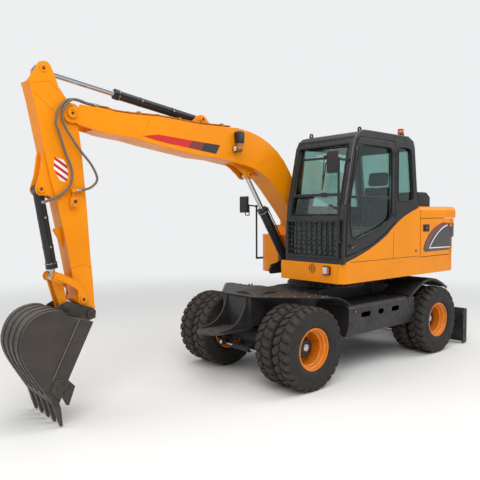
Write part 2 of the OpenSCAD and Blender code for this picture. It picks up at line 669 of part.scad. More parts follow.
hood_side_z = hood_z - 150;
hood_hinge_x = bay_front_x + 8;
hood_hinge_z = hood_z - 14;
module engine_hood() color(ORANGE) at_frame() {
    w = upper_y;
    difference() {
        union() {
            // Section across the machine as [y, z], with rounded shoulders
            translate([rear_x, 0, 0]) rotate([90, 0, 90]) linear_extrude(-rear_x + bay_front_x - gap)
                polygon(concat([[-w, hood_side_z + gap], [w, hood_side_z + gap]],
                    arc([w - 60, hood_z - 60], 60, 0, 90, 5), arc([-w + 60, hood_z - 60], 60, 90, 180, 5)));
        }
        translate([rear_x + panel_t, 0, 0]) rotate([90, 0, 90]) linear_extrude(-rear_x + bay_front_x - gap)
            polygon(concat([[-w + panel_t, hood_side_z], [w - panel_t, hood_side_z]],
                arc([w - 60, hood_z - 60], 60 - panel_t, 0, 90, 5), arc([-w + 60, hood_z - 60], 60 - panel_t, 90, 180, 5)));
    }
    // Sleeves on the hinge pins
    for (y = [-620, 300]) difference() {
        union() {
            block([hood_hinge_x - 22, y, hood_hinge_z - 9], [hood_hinge_x, y + 60, hood_hinge_z + 9]);
            y_bar([hood_hinge_x, hood_hinge_z], 13, y, y + 60);
        }
        y_bar([hood_hinge_x, hood_hinge_z], 7 + fit, y - 1, y + 61);
    }
    // Rear panel between the corner posts
    block([rear_x, -w + 150 + gap, cw_top_z + gap], [rear_x + panel_t, w - 150 - gap, hood_z - 60]);
}

// Side doors of the engine bay
module bay_door(s) mirror([0, s == left ? 0 : 1, 0]) {
    plate([[door_front_x, skirt_top_z + gap], [door_front_x, hood_side_z], [door_rear_x + gap, hood_side_z],
        [door_rear_x + gap, skirt_top_z + gap]], upper_y - panel_t, upper_y);
    for (z = [skirt_top_z + 70, hood_side_z - 85]) hinge_knuckle([door_rear_x, z], [door_rear_x + gap + 20, z]);
}
knuckle_r = 7.5;
hinge_y = upper_y + 8;
// Half of a hinge on a side face: the sleeve at p and the leaf that reaches to q
module hinge_knuckle(p, q) {
    translate([p.x, hinge_y, p.y - 25]) cylinder(h = 50, r = knuckle_r);
    block([min(p.x, q.x), upper_y - 4, p.y - 25], [max(p.x, q.x), upper_y + 6, p.y + 25]);
}
module left_door() color(ORANGE) at_frame() bay_door(left);
module right_door() color(ORANGE) at_frame() difference() {
    bay_door(right);
    for (i = [0:6]) y_slot([-1070, 1420 + i * 45], 380, 18, -upper_y - 5, -upper_y + panel_t + 5);
}

// Body on the right: tanks and the rounded front cover
module right_body() color(ORANGE) at_frame() {
    z0 = skirt_top_z + seat;
    y1 = boom_mid - foot_plate_y - 70;
    difference() {
        translate([0, 0, z0]) linear_extrude(1540 - z0) polygon(concat(
            [[right_front_x, y1]], arc([right_front_x - right_corner_r, -upper_y + right_corner_r], right_corner_r, 0, -90, 10),
            [[bay_front_x + 30, -upper_y], [bay_front_x + 30, y1]]));
    }
    translate([0, 0, 1540]) linear_extrude(120) polygon(concat(
        [[250, y1]], arc([250 - 240, -upper_y + 240], 240, 0, -90, 8), [[bay_front_x + 30, -upper_y], [bay_front_x + 30, y1]]));
    round_block([bay_front_x + 30, -upper_y, 1660], [-80, y1, 1870], 50);
}

module intake_box() color(BLACK) at_frame()
    plate([[-930, hood_z + seat], [-930, hood_z + 185], [-1130, hood_z + 185], [-1215, hood_z + 125], [-1215, hood_z + seat]],
        -80, 740);

// Cab

cab_front_x = 790;
cab_rear_x = -560;
door_hinge_x = -165;
wind_top_x = 560;
// Outline of the cab seen from the left as [x, z]
cab_side = [[cab_front_x, floor_z - 20], [cab_front_x, 1560], [760, 1900], [640, 2450], [614, 2565],
    [572, 2638], [505, 2690], [430, cab_roof_z], [-440, cab_roof_z], [-530, cab_roof_z - 40],
    [-560, 2600], [-640, 1905], [-640, 1700], [-600, floor_z - 20]];
cab_side_in = [[cab_front_x - cab_wall, floor_z], [cab_front_x - cab_wall, 1560], [706, 1880], [585, 2440], [540, 2600],
    [470, cab_roof_z - 60], [-440, cab_roof_z - 60], [-500, 2600], [-580, 1905], [-580, 1700], [-545, floor_z]];
door_cut = [[cab_front_x - 40, 1340], [cab_front_x - 42, 1560], [718, 1880], [598, 2440], [560, 2590], [515, 2640],
    [door_hinge_x, 2640], [door_hinge_x, 1692], [60, 1562], [330, 1438]];
win_quarter = [[-215, 1960], [-215, 2585], [-478, 2585], [-548, 1960]];
win_right = [[600, 1900], [500, 2560], [-440, 2560], [-540, 1900]];
module cab_shell() color(BLACK) at_frame() {
    cab_box();
    for (q = roof_eyes) translate([q.x, q.y, cab_roof_z]) roof_eye();
}
module cab_box() difference() {
    y0 = cab_inner_y;
    y1 = upper_y - 2;
    union() {
        difference() {
            plate(cab_side, y0, y1);
            plate(cab_side_in, y0 + cab_wall, y1 - cab_wall);
            // Left side below the curve belongs to the side panel
            plate(concat([[cab_front_x + 5, floor_z - 30], [cab_front_x + 5, 1262]], [for (q = side_curve) q + [0, gap]],
                [[-700, 1885], [-700, floor_z - 30]]), y1 - cab_wall - 1, y1 + 5);
        }
    }
    // Door opening, quarter window and right window
    plate(door_cut, y1 - cab_wall - 1, y1 + 5);
    plate(win_quarter, y1 - cab_wall - 1, y1 + 5);
    plate(win_right, y0 - 5, y0 + cab_wall + 1);
    // Windscreen, lower window and rear window
    block([500, y0 + cab_wall + 15, 1790], [900, y1 - cab_wall - 15, 2570]);
    block([700, y0 + cab_wall + 15, floor_z + 45], [900, y1 - cab_wall - 15, 1740]);
    block([-700, y0 + cab_wall + 15, 1960], [-500, y1 - cab_wall - 15, 2560]);
}

// Eyes on the roof, each with a bore for a shackle
roof_eye_r = 14;
roof_eyes = [for (x = [430, -400], y = [cab_inner_y + 75, upper_y - 70]) [x, y]];
module roof_eye() difference() {
    union() {
        block([-28, -7, -14], [28, 7, 22]);
        y_bar([0, 22], 28, -7, 7);
    }
    y_bar([0, 22], roof_eye_r, -20, 20);
}

module cab_glass() color(GLASS) at_frame() {
    y0 = cab_inner_y;
    y1 = upper_y - 2;
    a = y0 + cab_wall + 15 + seat;
    b = y1 - cab_wall - 15 - seat;
    // Windscreen and rear window lie in their slanted walls
    plate([[752, 1790 + seat], [752 - glass_t, 1790 + seat], [600, 2475], [574, 2570 - seat], [580, 2570 - seat], [606, 2475]], a, b);
    block([cab_front_x - 30, a, floor_z + 45 + seat], [cab_front_x - 30 + glass_t, b, 1740 - seat]);
    plate([[-612, 1960 + seat], [-606, 1960 + seat], [-535, 2560 - seat], [-541, 2560 - seat]], a, b);
    plate([for (q = win_quarter) q + seat * [q.x < -300 ? 1.2 : -1, q.y < 2100 ? 1 : -1]], y1 - 30, y1 - 30 + glass_t);
    plate([for (q = win_right) q + seat * [q.x < 0 ? 1.2 : -1.2, q.y < 2100 ? 1 : -1]], y0 + 20, y0 + 20 + glass_t);
}

// Door seen from the left: the opening less the gap
door_out = [[cab_front_x - 58, 1362], [cab_front_x - 60, 1560], [cab_front_x - 82, 1878], [580, 2436], [546, 2584],
    [508, 2632], [door_hinge_x + 8, 2632], [door_hinge_x + 8, 1706], [66, 1576], [332, 1452]];
door_win = [[cab_front_x - 120, 1995], [535, 2440], [498, 2565], [-95, 2565], [-95, 1760], [80, 1668], [560, 1530], [655, 1560], [680, 1800]];
module cab_door() color(BLACK) at_frame() difference() {
    union() {
        plate(door_out, upper_y - 2 - cab_wall, upper_y - 2);
        for (z = [1800, 2500]) hinge_knuckle([door_hinge_x, z], [door_hinge_x + 40, z]);
    }
    plate(door_win, upper_y - cab_wall - 5, upper_y + 5);
}
module door_glass() color(GLASS) at_frame()
    plate([for (q = door_win) q + seat * [q.x < 100 ? 1 : -1.5, q.y < 1900 ? 1.5 : -1]], upper_y - 34, upper_y - 34 + glass_t);

seat_y = upper_y - 420;
module cab_interior() color(DARK) at_frame() {
    // Seat base, side consoles with levers, and the steering column
    block([-330, seat_y - 200, floor_z + seat], [60, seat_y + 200, 1480]);
    for (s = [left, right]) {
        block([-330, seat_y + s * 265 - 55, floor_z + seat], [230, seat_y + s * 265 + 55, 1640]);
        translate([170, seat_y + s * 265, 1640]) cylinder(h = 190, r = 14);
        translate([170, seat_y + s * 265, 1810]) cylinder(h = 90, r1 = 26, r2 = 22);
    }
    block([375, seat_y - 60, floor_z + seat], [505, seat_y + 60, floor_z + 26]);
    translate([440, seat_y, floor_z + 12]) rotate([0, -12, 0]) cylinder(h = 548, r = 45);
    translate([330, seat_y, 1835]) rotate([0, -12, 0]) rotate_extrude($fn = 64) translate([175, 0]) circle(r = 14);
    translate([327, seat_y, 1820]) rotate([0, -12, 0]) for (a = [0, 120, 240]) rotate([0, 0, a]) block([0, -12, 0], [172, 12, 12]);
    for (y = [seat_y - 90, seat_y + 90]) {
        block([570, y - 24, floor_z + seat], [630, y + 24, floor_z + 20]);
        translate([600, y, floor_z + 10]) rotate([0, -30, 0]) cylinder(h = 170, r = 12);
    }
}
module seat_cushions() color(RUBBER) at_frame() {
    round_block([-320, seat_y - 195, 1480 + seat], [180, seat_y + 195, 1590], 50);
    translate([-300, seat_y, 1594]) rotate([0, -10, 0]) round_block([-60, -185, 0], [50, 185, 560], 35);
}

module window_guard() color(BLACK) at_frame() {
    x0 = cab_front_x + seat;
    y0 = cab_inner_y + 40;
    y1 = upper_y - 45;
    difference() {
        block([x0, y0, 1330], [x0 + 25, y1, 1745]);
        block([x0 - 1, y0 + 25, 1355], [x0 + 26, y1 - 25, 1720]);
    }
    for (i = [1:9]) block([x0 + 5, y0 + i * (y1 - y0) / 10 - 5, 1350], [x0 + 15, y0 + i * (y1 - y0) / 10 + 5, 1725]);
    for (i = [1:6]) block([x0 + 8, y0 + 20, 1355 + i * 52 - 5], [x0 + 18, y1 - 20, 1355 + i * 52 + 5]);
}

module work_lamps() color(STEEL) at_frame() {
    // Lamps set on the front of the skirt and on the right front cover
    block([skirt_front_x + seat, upper_y - 248, 1160], [skirt_front_x + 28, upper_y - 175, 1235]);
    translate([-470, upper_y - 140, cab_roof_z - 8]) cylinder(h = 68, r = 10);
    translate([-470, upper_y - 140, cab_roof_z + 55]) cylinder(h = 60, r = 35);
}

mirror_y = upper_y + 8;
pole_y = upper_y - 120;
module rails_mirrors() color(BLACK) at_frame() {
    // Handrail in front of the door pillar
    translate([cab_front_x + 42, upper_y - 30, 1500]) cylinder(h = 900, r = 13);
    for (z = [1512, 2380]) block([cab_front_x - (z > 2000 ? 130 : 0) + seat, upper_y - 43, z - 12], [cab_front_x + 42, upper_y - 17, z + 12]);
    // Left mirror on its arm
    translate([880, mirror_y - 78, 2235]) round_block([-14, -70, 0], [14, 70, 225], 12);
    block([cab_front_x + 32, mirror_y - 90, 2350], [870, mirror_y - 66, 2366]);
    block([cab_front_x + 32, mirror_y - 90, 2350], [cab_front_x + 52, upper_y - 30, 2366]);
    // Right mirror on its pole
    translate([452, -pole_y, 1215]) cylinder(h = 715, r = 12);
    block([348.6, -pole_y - 12, 1215], [452, -pole_y + 12, 1239]);
    stay([452, -pole_y, 1915], [565, -pole_y - 92, 1934], 10);
    translate([577, -pole_y - 100, 1830]) round_block([-14, -78, 0], [14, 78, 215], 12);
}

// Boom

boom_top = concat([[58, 1380], [110, 1560], [230, 1850]], bend([500, 2165], [760, 2715], [1400, 2757], 7),
    [[1919, 2749], [2407, 2772], [2730, 2760], [2890, 2763], [2955, 2778], [3048, 2785], [3219, 2791]]);
boom_under = [[3280, 2630], [3243, 2612], [3150, 2591], [2990, 2560], [2723, 2537], [2524, 2504], [1923, 2420], [1656, 2408],
    [1419, 2376], [1263, 2350], [1148, 2322], [1035, 2280], [930, 2217], [820, 2115], [700, 1990], [560, 1840], [390, 1640],
    [280, 1480], [215, 1300]];
fork_r = 240;
lift_lug_in = 54;
lift_lug_t = 16;
// Half of the boom's width along x
boom_plan = [[-200, boom_w / 2], [2880, boom_w / 2], [3060, tip_w / 2], [3500, tip_w / 2]];
module boom() color(ORANGE) at_frame() {
    difference() {
        union() {
            intersection() {
                plate(concat(boom_top, boom_under), boom_mid - boom_w / 2, boom_mid + boom_w / 2);
                translate([0, boom_mid, 1000]) linear_extrude(2500)
                    polygon(concat(boom_plan, [for (q = turned(boom_plan)) [q.x, -q.y]]));
            }
            y_bar(foot_pin, 85, boom_mid - boom_w / 2, boom_mid + boom_w / 2);
            y_bar(tip_pin, 86, boom_mid - tip_w / 2, boom_mid + tip_w / 2);
        }
        // Fork for the arm
        y_bar(tip_pin, fork_r, boom_mid - arm_w / 2 - gap, boom_mid + arm_w / 2 + gap, 72);
        block([tip_pin.x, boom_mid - arm_w / 2 - gap, 2400], [3600, boom_mid + arm_w / 2 + gap, 3000]);
        y_bar(foot_pin, foot_pin_r + fit, -900, 500);
        // Recess above the eye of the lift cylinder's rod
        plate([[1000, 2200], [1000, 2240], [1012, 2330], [1040, 2362], [1105, 2362], [1150, 2340], [1200, 2325],
            [1230, 2300], [1230, 2200]], boom_mid - lift_lug_in, boom_mid + lift_lug_in);
    }
    // Lugs below, with the stubs of the lift cylinder's pin
    for (s = [left, right]) {
        y0 = s > 0 ? boom_mid + lift_lug_in : boom_mid - lift_lug_in - lift_lug_t;
        plate([[1520, 2430], [1457, 2391], [1346, 2328], [1256, 2262], [1226, 2230], [1200, 2214], [1160, 2210], [1128, 2228],
            [1116, 2262], [1090, 2330], [1120, 2400]], y0, y0 + lift_lug_t);
        y_bar(lift_eye, 27, y0 - (s > 0 ? 0 : 10), y0 + lift_lug_t + (s > 0 ? 10 : 0));
    }
    // Lugs and pin of the crowd cylinder
    for (s = [left, right])
        plate([[1700, 2740], [1800, 2850], [1850, 2864], [1905, 2845], [2010, 2740]],
            boom_mid + s * 59.5 - 9.5, boom_mid + s * 59.5 + 9.5);
    y_bar(crowd_base, 26, boom_mid - 88, boom_mid + 88);
    // Pin of the arm
    y_bar(tip_pin, pin_r, boom_mid - tip_w / 2 - 14, boom_mid + tip_w / 2 + 14);
}

pipe_line = [[1480, 2775], [1920, 2767], [2410, 2790], [2735, 2778], [2892, 2781], [2958, 2797], [3082, 2806]];
pipe_end = pipe_line[len(pipe_line) - 1];
pipe_d = [80, 102];
module boom_pipes() color(ORANGE) at_frame() {
    // Two pipes along each edge of the boom's top, with a sleeve at each bend
    for (s = [left, right], d = pipe_d) {
        y = boom_mid + s * d;
        for (i = [0:len(pipe_line) - 2]) {
            a = pipe_line[i];
            b = pipe_line[i + 1];
            rod_along(a, b, y, 8, i == 0 ? 0 : 2, norm(b - a) - 2);
            if (i > 0) translate([a.x, y, a.y]) rotate([0, 90, 0]) translate([0, 0, -16]) cylinder(h = 32, r = 10.5);
        }
        translate([pipe_end.x, y, pipe_end.y]) rotate([0, 90, 0]) translate([0, 0, -30]) cylinder(h = 30, r = 12.5);
    }
    // Clamps
    for (s = [left, right], q = [[1600, 2755.7], [2150, 2760.5], [2620, 2766]])
        block([q.x - 14, boom_mid + s * 91 - 27, q.y + seat], [q.x + 14, boom_mid + s * 91 + 27, q.y + 34]);
    // Work lamp on the left face: bracket and round head
    block([1378, boom_mid + boom_w / 2 + seat, 2545], [1446, boom_mid + boom_w / 2 + 62, 2695]);
    translate([1400, boom_mid + boom_w / 2 + 44, 2523]) rotate([0, 90, 0]) cylinder(h = 80, r = 38);
}

lift_gland = 860;
module boom_barrel() color(BLACK) at_frame()
    cyl_barrel(lift_base, lift_eye, boom_mid, lift_gland, lift_r, 52, 100, 28 + fit);
module boom_rod() color(STEEL) at_frame()
    cyl_rod(lift_base, lift_eye, boom_mid, 430, rod_r, 42, 96, lift_r - 9 - fit);

// Arm

arm_outline = [[3478, 3103], [3500, 3122], [3535, 3124], [3570, 3112], [3612, 3038], [3668, 2944], [3661, 2928],
    [3631, 2805], [3591, 2602], [3545, 2366], [3495, 2112], [3437, 1908], [3382, 1643], [3340, 1415], [3289, 1120],
    [3240, 975], [3122, 900], [3100, 950], [3107, 978], [3118, 1197], [3139, 1433], [3153, 1666], [3167, 1898],
    [3208, 2406], [3231, 2578], [3241, 2740], [3327, 2814], [3406, 2923], [3433, 2999], [3455, 3050]];
module arm() color(ORANGE) at_frame() {
    difference() {
        union() {
            plate(arm_outline, boom_mid - arm_w / 2, boom_mid + arm_w / 2);
            y_bar(tip_pin, 78, boom_mid - arm_w / 2, boom_mid + arm_w / 2);
            y_bar(bucket_pin, 62, boom_mid - arm_w / 2, boom_mid + arm_w / 2);
            y_bar(rocker_pin, 50, boom_mid - arm_w / 2, boom_mid + arm_w / 2);
        }
        // Fork for the crowd cylinder's eye
        plate([[3300, 2860], [3470, 2860], [3560, 2940], [3800, 2952], [3800, 3200], [3300, 3200]],
            boom_mid - 56, boom_mid + 56);
        // The right cheek of the fork is slimmer
        for (q = [[[3300, 2952], [3462, 2952], [3490, 3010], [3486, 3080], [3520, 3108], [3520, 3200], [3300, 3200]],
            [[3800, 2952], [3640, 2952], [3584, 3030], [3582, 3080], [3550, 3108], [3550, 3200], [3800, 3200]]])
            plate(q, boom_mid - arm_w / 2 - 1, boom_mid - 50);
        y_bar(tip_pin, pin_r + fit, -900, 500);
        y_bar(bucket_pin, pin_r + fit, -900, 500);
    }
    // Lugs with a hollow front edge, and pin of the bucket cylinder
    for (s = [left, right])
        plate([[3510, 2385], [3546, 2366], [3558, 2320], [3564, 2268], [3583, 2153], [3615, 2054], [3619, 2021], [3604, 1990],
            [3584, 1976], [3510, 1978], [3441, 1938], [3410, 1960], [3460, 2150]],
            boom_mid + s * 62 - 12, boom_mid + s * 62 + 12);
    y_bar(curl_base, 26, boom_mid - 84, boom_mid + 84);
    // Pin on which the rocker turns
    y_bar(rocker_pin, 24, boom_mid - rocker_in - rocker_t - 12, boom_mid + rocker_in + rocker_t + 12);
    // Valve block on the left face
    block([3270, boom_mid + arm_w / 2 - 5, 1880], [3335, boom_mid + arm_w / 2 + 45, 1965]);
    translate([3302, boom_mid + arm_w / 2 + 24, 1955]) cylinder(h = 70, r = 9);
    block([3282, boom_mid + arm_w / 2 - 5, 2008], [3318, boom_mid + arm_w / 2 + 42, 2036]);
}

crowd_gland = 1001;
module arm_barrel() color(BLACK) at_frame()
    cyl_barrel(crowd_base, crowd_eye, boom_mid, crowd_gland, barrel_r - 2, 48, 96, 26 + fit);
module arm_rod() color(STEEL) at_frame()
    cyl_rod(crowd_base, crowd_eye, boom_mid, 628, rod_r, 50, 96, barrel_r - 11 - fit);

curl_gland = 705;
module bucket_barrel() color(BLACK) at_frame() {
    cyl_barrel(curl_base, curl_eye, boom_mid, curl_gland, barrel_r, 46, 96, 26 + fit);
    // Port of its hose
    y_bar([3557, 1918], 12, boom_mid + barrel_r - 9, boom_mid + 59, 24);
}
module bucket_rod() color(STEEL) at_frame()
    cyl_rod(curl_base, curl_eye, boom_mid, 85, rod_r - 4, 42, 76, barrel_r - 9 - fit);

rocker_in = arm_w / 2 + 32;
rocker_t = 18;
module rocker() color(ORANGE) at_frame() {
    o = concat([rocker_pin + [-44, 0], rocker_pin + [-38, 32]], bend(rocker_pin + [-22, 66], [3250, 1215], [3330, 1240], 5),
        [curl_eye + [-48, 22], curl_eye + [-18, 42], curl_eye + [18, 42], curl_eye + [44, 0], curl_eye + [20, -38]],
        bend(curl_eye + [-30, -38], [3330, 1180], [3282, 1126], 5), [rocker_pin + [45, 0], rocker_pin + [0, -45]]);
    for (s = [left, right]) {
        y0 = s > 0 ? boom_mid + rocker_in : boom_mid - rocker_in - rocker_t;
        difference() {
            union() {
                plate(o, y0, y0 + rocker_t);
                y_bar(curl_eye, 46, y0, y0 + rocker_t);
                y_bar(rocker_pin, 46, y0, y0 + rocker_t);
                // Stub of the front pin, which ends short of the arm
                y_bar(curl_eye, 24, y0 - (s > 0 ? rocker_in - arm_w / 2 - gap : 12),
                    y0 + rocker_t + (s > 0 ? 12 : rocker_in - arm_w / 2 - gap));
            }
            y_bar(rocker_pin, 24 + fit, -900, 500);
        }
    }
}

link_in = 46;
link_t = 22;
link_pin_r = pin_r - 4;
module bucket_link() color(ORANGE) at_frame() {
    u = (curl_eye - link_pin) / norm(curl_eye - link_pin);
    n = [-u.y, u.x];
    difference() {
        for (s = [left, right]) {
            y0 = s > 0 ? boom_mid + link_in : boom_mid - link_in - link_t;
            union() {
                plate([link_pin + n * 34, curl_eye + n * 46, curl_eye - n * 46, link_pin - n * 34], y0, y0 + link_t);
                y_bar(link_pin, 36, y0, y0 + link_t);
                y_bar(curl_eye, 46, y0, y0 + link_t);
            }
        }
        y_bar(link_pin, link_pin_r + fit, -900, 500);
        y_bar(curl_eye, link_pin_r, -900, 500);
    }
}

// Bucket

// Shell from the top of the mouth over the back to the lip, as [x, z]
bucket_back = concat(bend([3489, 990], [3523, 1004], [3562, 1000], 3), bend([3575, 999], [3800, 985], [3840, 745], 8),
    bend([3840, 735], [3848, 640], [3768, 500], 5), [[3708, 400], [3640, 290]]);
bucket_shell = concat([[3228, 872], [3340, 905], [3400, 925], [3450, 955]], bucket_back, [[3578, 188]]);
bucket_cheek = concat(bucket_shell, [[3556, 200], [3461, 410]]);
bucket_void = concat(offset_line(bucket_shell, -bucket_t), [[3140, 850], [3200, 500], [3380, 120]]);
wear_t = 8;
wear_strip = concat(offset_line(bucket_back, wear_t), turned(offset_line(bucket_back, -6)));
cutter_side = [[3477, 413], [3411, 341], [3469, 188], [3490, 192], [3531, 277], [3548, 236], [3622, 330], [3590, 420]];
tooth_side = [[3618, 268], [3560, 262], [3532, 172], [3519, 18], [3534, 12], [3580, 185]];
side_bar_w = 120;
ear_in = arm_w / 2 + gap;
ear_t = 20;
// Room between the side walls, which come closer from the mouth to the back; seen along the mouth
module bucket_room(t) translate([3220, boom_mid, 880]) rotate([0, -27.1, 0]) linear_extrude(2400, center = true)
    polygon([for (s = [left, right], q = s == left ?
        [[-400, bucket_w / 2], [side_bar_w, bucket_w / 2], [side_bar_w, bucket_w / 2 - 10], [700, bucket_w / 2 - 100]] :
        [[700, bucket_w / 2 - 100], [side_bar_w, bucket_w / 2 - 10], [side_bar_w, bucket_w / 2], [-400, bucket_w / 2]])
        [q.x, s * (q.y - t)]]);
module bucket() color(DARK) at_frame() {
    y0 = boom_mid - bucket_w / 2;
    y1 = boom_mid + bucket_w / 2;
    difference() {
        intersection() {
            plate(bucket_cheek, y0 - 5, y1 + 5);
            bucket_room(0);
        }
        intersection() {
            plate(bucket_void, y0, y1);
            bucket_room(bucket_t);
        }
    }
    // Wear strips on the back
    for (y = [-185, -62, 62, 185]) plate(wear_strip, boom_mid + y - 24, boom_mid + y + 24);
    // Ears with the pins of the arm and the link
    for (s = [left, right]) {
        ye = s > 0 ? boom_mid + ear_in : boom_mid - ear_in - ear_t;
        plate([[3112, 862], [3222, 850], [3250, 873], [3480, 975], [3474, 1002], [3430, 1025], [3380, 1038], [3330, 1026],
            [3140, 962], [3105, 930]], ye, ye + ear_t);
        // Side cutters
        yc = s > 0 ? y1 - 4 : y0 - 12;
        plate(cutter_side, yc, yc + 16);
    }
    y_bar(bucket_pin, pin_r, boom_mid - ear_in - ear_t - 12, boom_mid + ear_in + ear_t + 12);
    y_bar(link_pin, link_pin_r, boom_mid - ear_in - ear_t, boom_mid + ear_in + ear_t);
    // Teeth along the lip
    for (i = [0:teeth - 1]) {
        y = y0 + 34 + i * (bucket_w - 68) / (teeth - 1);
        plate(tooth_side, y - 26, y + 26);
    }
}

// Hoses from the boom's pipes over the joint to the arm's valve block
hose_r = 11;
hose_routes = [
    [[3084, -98, 2806], [3160, -96, 2813], [3221, -90, 2826], [3290, -74, 2826], [3338, -58, 2796], [3371, -54, 2760], [3397, -54, 2700],
        [3398, -54, 2628], [3360, -56, 2545], [3243, -62, 2384], [3132, -68, 2257], [3077, -72, 2135],
        [3130, -76, 2062], [3216, -80, 2030], [3270, -86, 2022]],
    [[3084, -120, 2806], [3160, -118, 2814], [3240, -112, 2830], [3330, -92, 2820], [3400, -68, 2762], [3443, -60, 2700], [3457, -60, 2640],
        [3455, -62, 2588], [3423, -68, 2508], [3372, -76, 2357], [3318, -78, 2221], [3316, -80, 2116],
        [3354, -84, 2040], [3432, -86, 1975], [3500, -88, 1944], [3537, -98, 1928], [3556, -118, 1919], [3557, -139.9, 1918]]
];
// Points of a smooth line through the route, and the tube round them
function smooth(q, n) = [for (i = [0:len(q) - 2]) each [for (k = [0:n - 1])
    let (t = k / n, a = q[max(i - 1, 0)], b = q[i], c = q[i + 1], d = q[min(i + 2, len(q) - 1)])
    0.5 * (2 * b + (c - a) * t + (2 * a - 5 * b + 4 * c - d) * t * t + (3 * b - a - 3 * c + d) * t * t * t)],
    q[len(q) - 1]];
module tube(q, r, sides = 8) {
    last = len(q) - 1;
    rings = [for (i = [0:last]) let (d = q[min(i + 1, last)] - q[max(i - 1, 0)], w = d / norm(d),
        u = cross([0, 1, 0], w) / norm(cross([0, 1, 0], w)), v = cross(w, u))
        for (k = [0:sides - 1]) q[i] + r * (cos(360 * k / sides) * u + sin(360 * k / sides) * v)];
    sides_faces = [for (i = [0:last - 1], k = [0:sides - 1])
        [i * sides + k, (i + 1) * sides + k, (i + 1) * sides + (k + 1) % sides, i * sides + (k + 1) % sides]];
    polyhedron(rings, concat([[for (k = [0:sides - 1]) k]], sides_faces,
        [[for (k = [sides - 1:-1:0]) last * sides + k]]), 10);
}
module arm_hoses() color(RUBBER) at_frame()
    for (q = hose_routes) tube(smooth(q, 5), hose_r);

chassis_frame();
front_bracket();
front_fenders();
rear_fenders();
tool_boxes();
swing_bearing();
front_axle();
rear_axle();
drive_line();
knuckle_left();
knuckle_right();
steer_rod();
tyres_fl();
wheel_fl();
tyres_fr();
wheel_fr();
tyres_rl();
wheel_rl();
tyres_rr();
wheel_rr();
dozer_blade();
blade_barrel();
blade_rod();
upper_frame();
skirt();
side_panel();
counterweight();
engine_block();
engine_hood();
left_door();
right_door();
right_body();
intake_box();
cab_shell();
cab_glass();
cab_door();
door_glass();
cab_interior();
seat_cushions();
window_guard();
work_lamps();
rails_mirrors();
boom();
boom_pipes();
boom_barrel();
boom_rod();
arm();
arm_barrel();
arm_rod();
bucket_barrel();
bucket_rod();
rocker();
bucket_link();
bucket();
arm_hoses();
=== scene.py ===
"""Looks of a wheeled excavator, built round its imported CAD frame.

Lengths are in millimetres and measured from the slewing axis: X to the front, Y to the left,
Z up from the ground. `Piece` turns them into the frame's metres.
"""

from __future__ import annotations

import json
import logging
import math
from dataclasses import dataclass, field
from enum import Enum
from typing import Sequence

import bmesh
import bpy
from mathutils import Matrix, Vector

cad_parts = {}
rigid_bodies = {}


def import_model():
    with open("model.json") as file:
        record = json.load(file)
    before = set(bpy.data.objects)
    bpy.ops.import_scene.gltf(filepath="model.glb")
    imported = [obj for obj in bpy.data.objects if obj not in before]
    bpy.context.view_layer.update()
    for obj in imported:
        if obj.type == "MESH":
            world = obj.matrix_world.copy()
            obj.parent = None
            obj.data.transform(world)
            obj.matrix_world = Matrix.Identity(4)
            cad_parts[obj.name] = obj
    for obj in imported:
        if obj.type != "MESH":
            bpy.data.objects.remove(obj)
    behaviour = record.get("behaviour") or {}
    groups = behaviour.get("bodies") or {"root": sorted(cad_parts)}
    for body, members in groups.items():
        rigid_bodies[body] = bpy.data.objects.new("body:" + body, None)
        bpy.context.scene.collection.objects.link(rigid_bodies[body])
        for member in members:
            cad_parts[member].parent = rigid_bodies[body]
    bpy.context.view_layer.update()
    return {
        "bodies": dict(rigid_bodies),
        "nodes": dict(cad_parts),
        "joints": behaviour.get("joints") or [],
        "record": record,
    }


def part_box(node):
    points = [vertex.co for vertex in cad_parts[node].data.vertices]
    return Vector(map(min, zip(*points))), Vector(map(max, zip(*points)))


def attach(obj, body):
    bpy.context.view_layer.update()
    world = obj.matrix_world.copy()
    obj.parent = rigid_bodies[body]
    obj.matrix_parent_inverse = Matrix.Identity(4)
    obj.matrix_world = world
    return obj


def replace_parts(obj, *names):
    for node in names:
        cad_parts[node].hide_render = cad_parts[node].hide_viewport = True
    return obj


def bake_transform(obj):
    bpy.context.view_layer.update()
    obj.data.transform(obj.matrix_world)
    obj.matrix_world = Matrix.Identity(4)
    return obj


LOG = logging.getLogger("excavator")
MM = 0.001
# The frame's origin lies this far in front of the slewing axis
FRAME_X = 930.0
# The middle plane of the boom, the arm and the bucket
BOOM_Y = -200.0
# Directions
AHEAD = (1, 0, 0)
LEFTWARD = (0, 1, 0)
UP = (0, 0, 1)

Point = Sequence[float]


class Body(str, Enum):
    """The bodies of the CAD frame that pieces ride on."""

    CHASSIS = "chassis"
    UPPER = "upper"
    HOOD = "hood"
    LEFT_BAY = "left_bay_door"
    RIGHT_BAY = "right_bay_door"
    CAB_DOOR = "driver_door"
    BOOM = "boom_arm"
    LIFT_BARREL = "lift_cylinder"
    DIPPER = "dipper"
    CROWD_BARREL = "crowd_cylinder"
    CURL_BARREL = "curl_cylinder"
    BUCKET = "digging_bucket"
    BLADE = "blade"
    FRONT_LEFT = "front_left_wheel"
    FRONT_RIGHT = "front_right_wheel"
    REAR_LEFT = "rear_left_wheel"
    REAR_RIGHT = "rear_right_wheel"


class Side(int, Enum):
    """Left and right as the sign of y."""

    LEFT = 1
    RIGHT = -1


def linear(hex_colour: str) -> tuple[float, float, float, float]:
    """Turns an sRGB hex colour into linear RGBA.

    Args:
        hex_colour: six hex digits, such as "f2980f".

    Returns:
        The linear colour with alpha 1.
    """
    values = [int(hex_colour[i : i + 2], 16) / 255 for i in (0, 2, 4)]
    rgb = [v / 12.92 if v <= 0.04045 else ((v + 0.055) / 1.055) ** 2.4 for v in values]
    return (rgb[0], rgb[1], rgb[2], 1.0)


